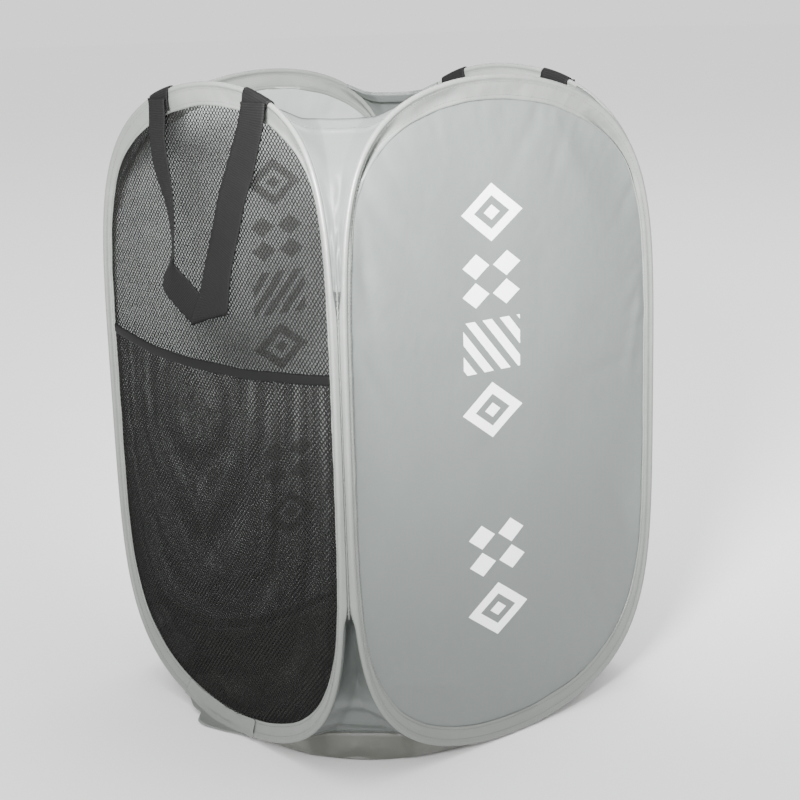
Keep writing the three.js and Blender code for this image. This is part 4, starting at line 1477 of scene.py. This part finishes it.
def plain_strap(half_width=18):
    """A strap that hangs evenly and leans out from the wall at the bottom of its bend."""
    t = np.linspace(0, 1, 15)[:, None]
    top, leg = np.array([75, 579]), np.array([74, 500])
    bend, low = np.array([52, 398]), np.array([0, 396])
    half = (1 - t) ** 3 * top + 3 * (1 - t) ** 2 * t * leg + 3 * (1 - t) * t * t * bend + t**3 * low
    path = np.concatenate([half * [-1, 1], half[-2::-1]])
    way = np.gradient(path, axis=0)
    way /= np.linalg.norm(way, axis=1)[:, None]
    side = np.stack([-way[:, 1], way[:, 0]], 1)
    share = np.linspace(-1, 1, len(path))
    lean = np.radians(38) * (1 - share**2) ** 2
    out = 6.2 + 7.5 * np.sin(lean)
    across, off = side * half_width * np.cos(lean)[:, None], half_width * np.sin(lean) * 0.62
    rows = np.c_[path - across, out + off, path + across, out - off]
    rows[:, [0, 3]] += TABS_MIDDLE
    return rows


rows = plain_strap()
ends = rows[0, [0, 3]], rows[-1, [0, 3]]
back_strap = make_strap("back_strap", rows, ends, 2, "back_loop", "back_handle")
for piece in (front_strap, back_strap):
    print(piece.name, declare_sheet(piece))

# %% [markdown]
# ## Stitches
# The hamper is sewn with lockstitch, which shows as a row of short threads. A seam is given to
# the tree as a line of points. The tree walks along it and lays down one short thread for each
# stitch, so the stitch length is a single number.

# %% Stitch tree
def stitch_tree():
    bench, given = start_tree("stitches", {"Length": float, "Thread": float})
    add = bench.add
    line = add("GeometryNodeMeshToCurve", None, {"Mesh": given["Carrier"]})[0]
    sockets = {"Curve": line, "Length": given["Length"]}
    line = add("GeometryNodeResampleCurve", {"mode": "LENGTH"}, sockets)[0]
    tangent = add("GeometryNodeInputTangent")[0]
    turn = add("FunctionNodeAlignRotationToVector", {"axis": "X"}, {"Vector": tangent})[0]
    ball = add("GeometryNodeMeshIcoSphere", None, {"Radius": 1.0, "Subdivisions": 1})[0]
    long, thin = given["Length"] * 0.42, given["Thread"] / 2  # so that stitches don't quite meet
    size = add("ShaderNodeCombineXYZ", None, {0: long, 1: thin, 2: thin})[0]
    thread = add("GeometryNodeTransform", None, {"Geometry": ball, "Scale": size})[0]
    smooth_thread = add("GeometryNodeSetShadeSmooth", None, {"Geometry": thread})[0]
    placed = {"Points": line, "Instance": smooth_thread, "Rotation": turn}
    stitches = add("GeometryNodeInstanceOnPoints", None, placed)[0]
    end_tree(bench, stitches, given["Finish"])
    return bench


stitching = stitch_tree()
STITCH, THREAD = 3.1 * MM, 0.5 * MM


def sew(name, lines, length=STITCH, thread=THREAD):
    """Stitches along lines of points."""
    points, edges, count = [], [], 0
    for line in lines:
        points.append(line)
        step = np.arange(count, count + len(line) - 1)
        edges.append(np.stack([step, step + 1], 1))
        count += len(line)
    carrier = carrier_mesh(np.concatenate(points), edges=np.concatenate(edges))
    values = {"Length": length, "Thread": thread, "Finish": grey_thread}
    return grow(name, stitching, carrier, values)


print(f"a stitch every {STITCH / MM:.1f} mm, in thread {THREAD / MM:.1f} mm thick")

# %% [markdown]
# ## Seams
# Two rows of stitches run round every binding, on both faces: one in the groove beside the
# roll and one near the free edge. Others hold the gussets' hems and feet. They take their
# lines from the same sections and grids as the cloth, so they lie on it everywhere.

# %% Seams
GROOVE_POINT, EDGE_POINT = 8, 2  # of the section, on the outer face
INNER_FACE = BAND_POINTS + ROLL_POINTS  # the section's first point on the inner one


def binding_seams(wall):
    """Four lines: groove and free edge, on the outer and on the inner face."""
    station = np.linspace(0, STATIONS, STATIONS + 1)
    section = binding_section(hoops[wall], station % STATIONS, 3 + 10 * wall)
    lines = []
    outer, inner = [(GROOVE_POINT, 0.1), (EDGE_POINT, 0.12)], [(0, -0.1), (6, -0.12)]
    for k, lift in outer + [(INNER_FACE + k, lift) for k, lift in inner]:
        inwards, outwards = section[k]
        lines.append(on_wall(hoops[wall].off(station, inwards, outwards + lift * MM), wall))
    return lines


for wall in range(4):
    seams = sew(f"{WALLS[wall]}_binding_stitches", binding_seams(wall))
    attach(seams, f"{WALLS[wall]}_wall")
print("stitches round one binding:", len(seams.data.polygons) // 20)

for corner, rows in gusset_seams.items():
    if corner == OPEN_CORNER:
        # its two layers fold apart, and the seam would tear between them
        continue  # its gusset is two layers, each on its own wall, and gets no stitches
    lines = []
    for grid, row in rows:
        lift = grid_normals(grid)[row] * 1.15 * MM
        lines += [grid[row] + lift, grid[row] - lift]
    seams = sew("_".join(CORNERS[corner]) + "_gusset_stitches", lines)
    follow_corner(seams, corner)
print("stitches at one corner's gussets:", len(seams.data.polygons) // 20)

# %% [markdown]
# ## Corner seams
# Along the middle of their sides, neighbouring hoops are whipped together over a narrow welt of
# nylon. The welt is a slim tube that the thread waists at every stitch, and the stitches climb
# round it as a zigzag.

# %% Corner seams
PITCH = 7 * MM  # from stitch to stitch
WELT_SIDES = 12


def make_welt(name, corner):
    height = np.linspace(SEAM_LOW - 2 * MM, SEAM_HIGH + 2 * MM, 281)
    angle = np.linspace(0, 2 * np.pi, WELT_SIDES, endpoint=False)
    waist = 0.46 - 0.07 * np.abs(np.cos(np.pi * height / PITCH)) ** 8
    to_end = np.minimum(height - height[0], height[-1] - height)
    taper = np.sqrt(np.clip(to_end / (3 * MM), 0.02, 1))[:, None]
    radius = waist[:, None] * (1 + 0 * angle) * MM
    x = SEAM + radius * taper * np.cos(angle)
    y = -SEAM + radius * taper * np.sin(angle)
    grid = turned(np.stack([x, y, height[:, None] + 0 * x], -1), corner).reshape(-1, 3)
    faces = [tuple(f) for f in grid_faces(len(height), WELT_SIDES, closed_columns=True)]
    faces += [tuple(range(WELT_SIDES)), tuple(range(len(grid) - WELT_SIDES, len(grid)))[::-1]]
    return facing_out(new_piece(name, grid, faces, lit_band_nylon))


def make_whipping(name, corner):
    height = np.arange(SEAM_LOW + 4 * MM, SEAM_HIGH - 4 * MM, PITCH / 2)
    side = np.where(np.arange(len(height)) % 2, 1.0, -1.0) * 0.8 * MM * 0.7
    lines = []
    for out in (0.5 * MM, -0.5 * MM):
        lines.append(turned(np.c_[SEAM + side + out, -SEAM + side - out, height], corner))
    return sew(name, lines, math.hypot(PITCH / 2, 1.6 * MM), 0.45 * MM)


def make_corner_seam(corner):
    first, second = CORNERS[corner]
    welt = make_welt(f"{first}_{second}_welt", corner)
    for piece in (welt, make_whipping(f"{first}_{second}_whipping", corner)):
        if corner == OPEN_CORNER:
            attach(piece, "left_wall")
        else:
            follow_corner(piece, corner)
    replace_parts(welt, f"{first}_{second}_corner_seam")
    return welt


for corner in range(4):
    welt = make_corner_seam(corner)
print("faces of a welt:", len(welt.data.polygons))

# %% [markdown]
# ## Close the scene
# Every solid of the frame is now dressed or hidden in a binding, and any that still shows gets
# the finish of its kind.

# %% Close the scene
for name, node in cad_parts.items():
    if not node.hide_render and not name.endswith(("wire", "ferrule")):
        node.data.materials.clear()
        node.data.materials.append(webbing if "handle" in name else shaded_gusset_nylon)
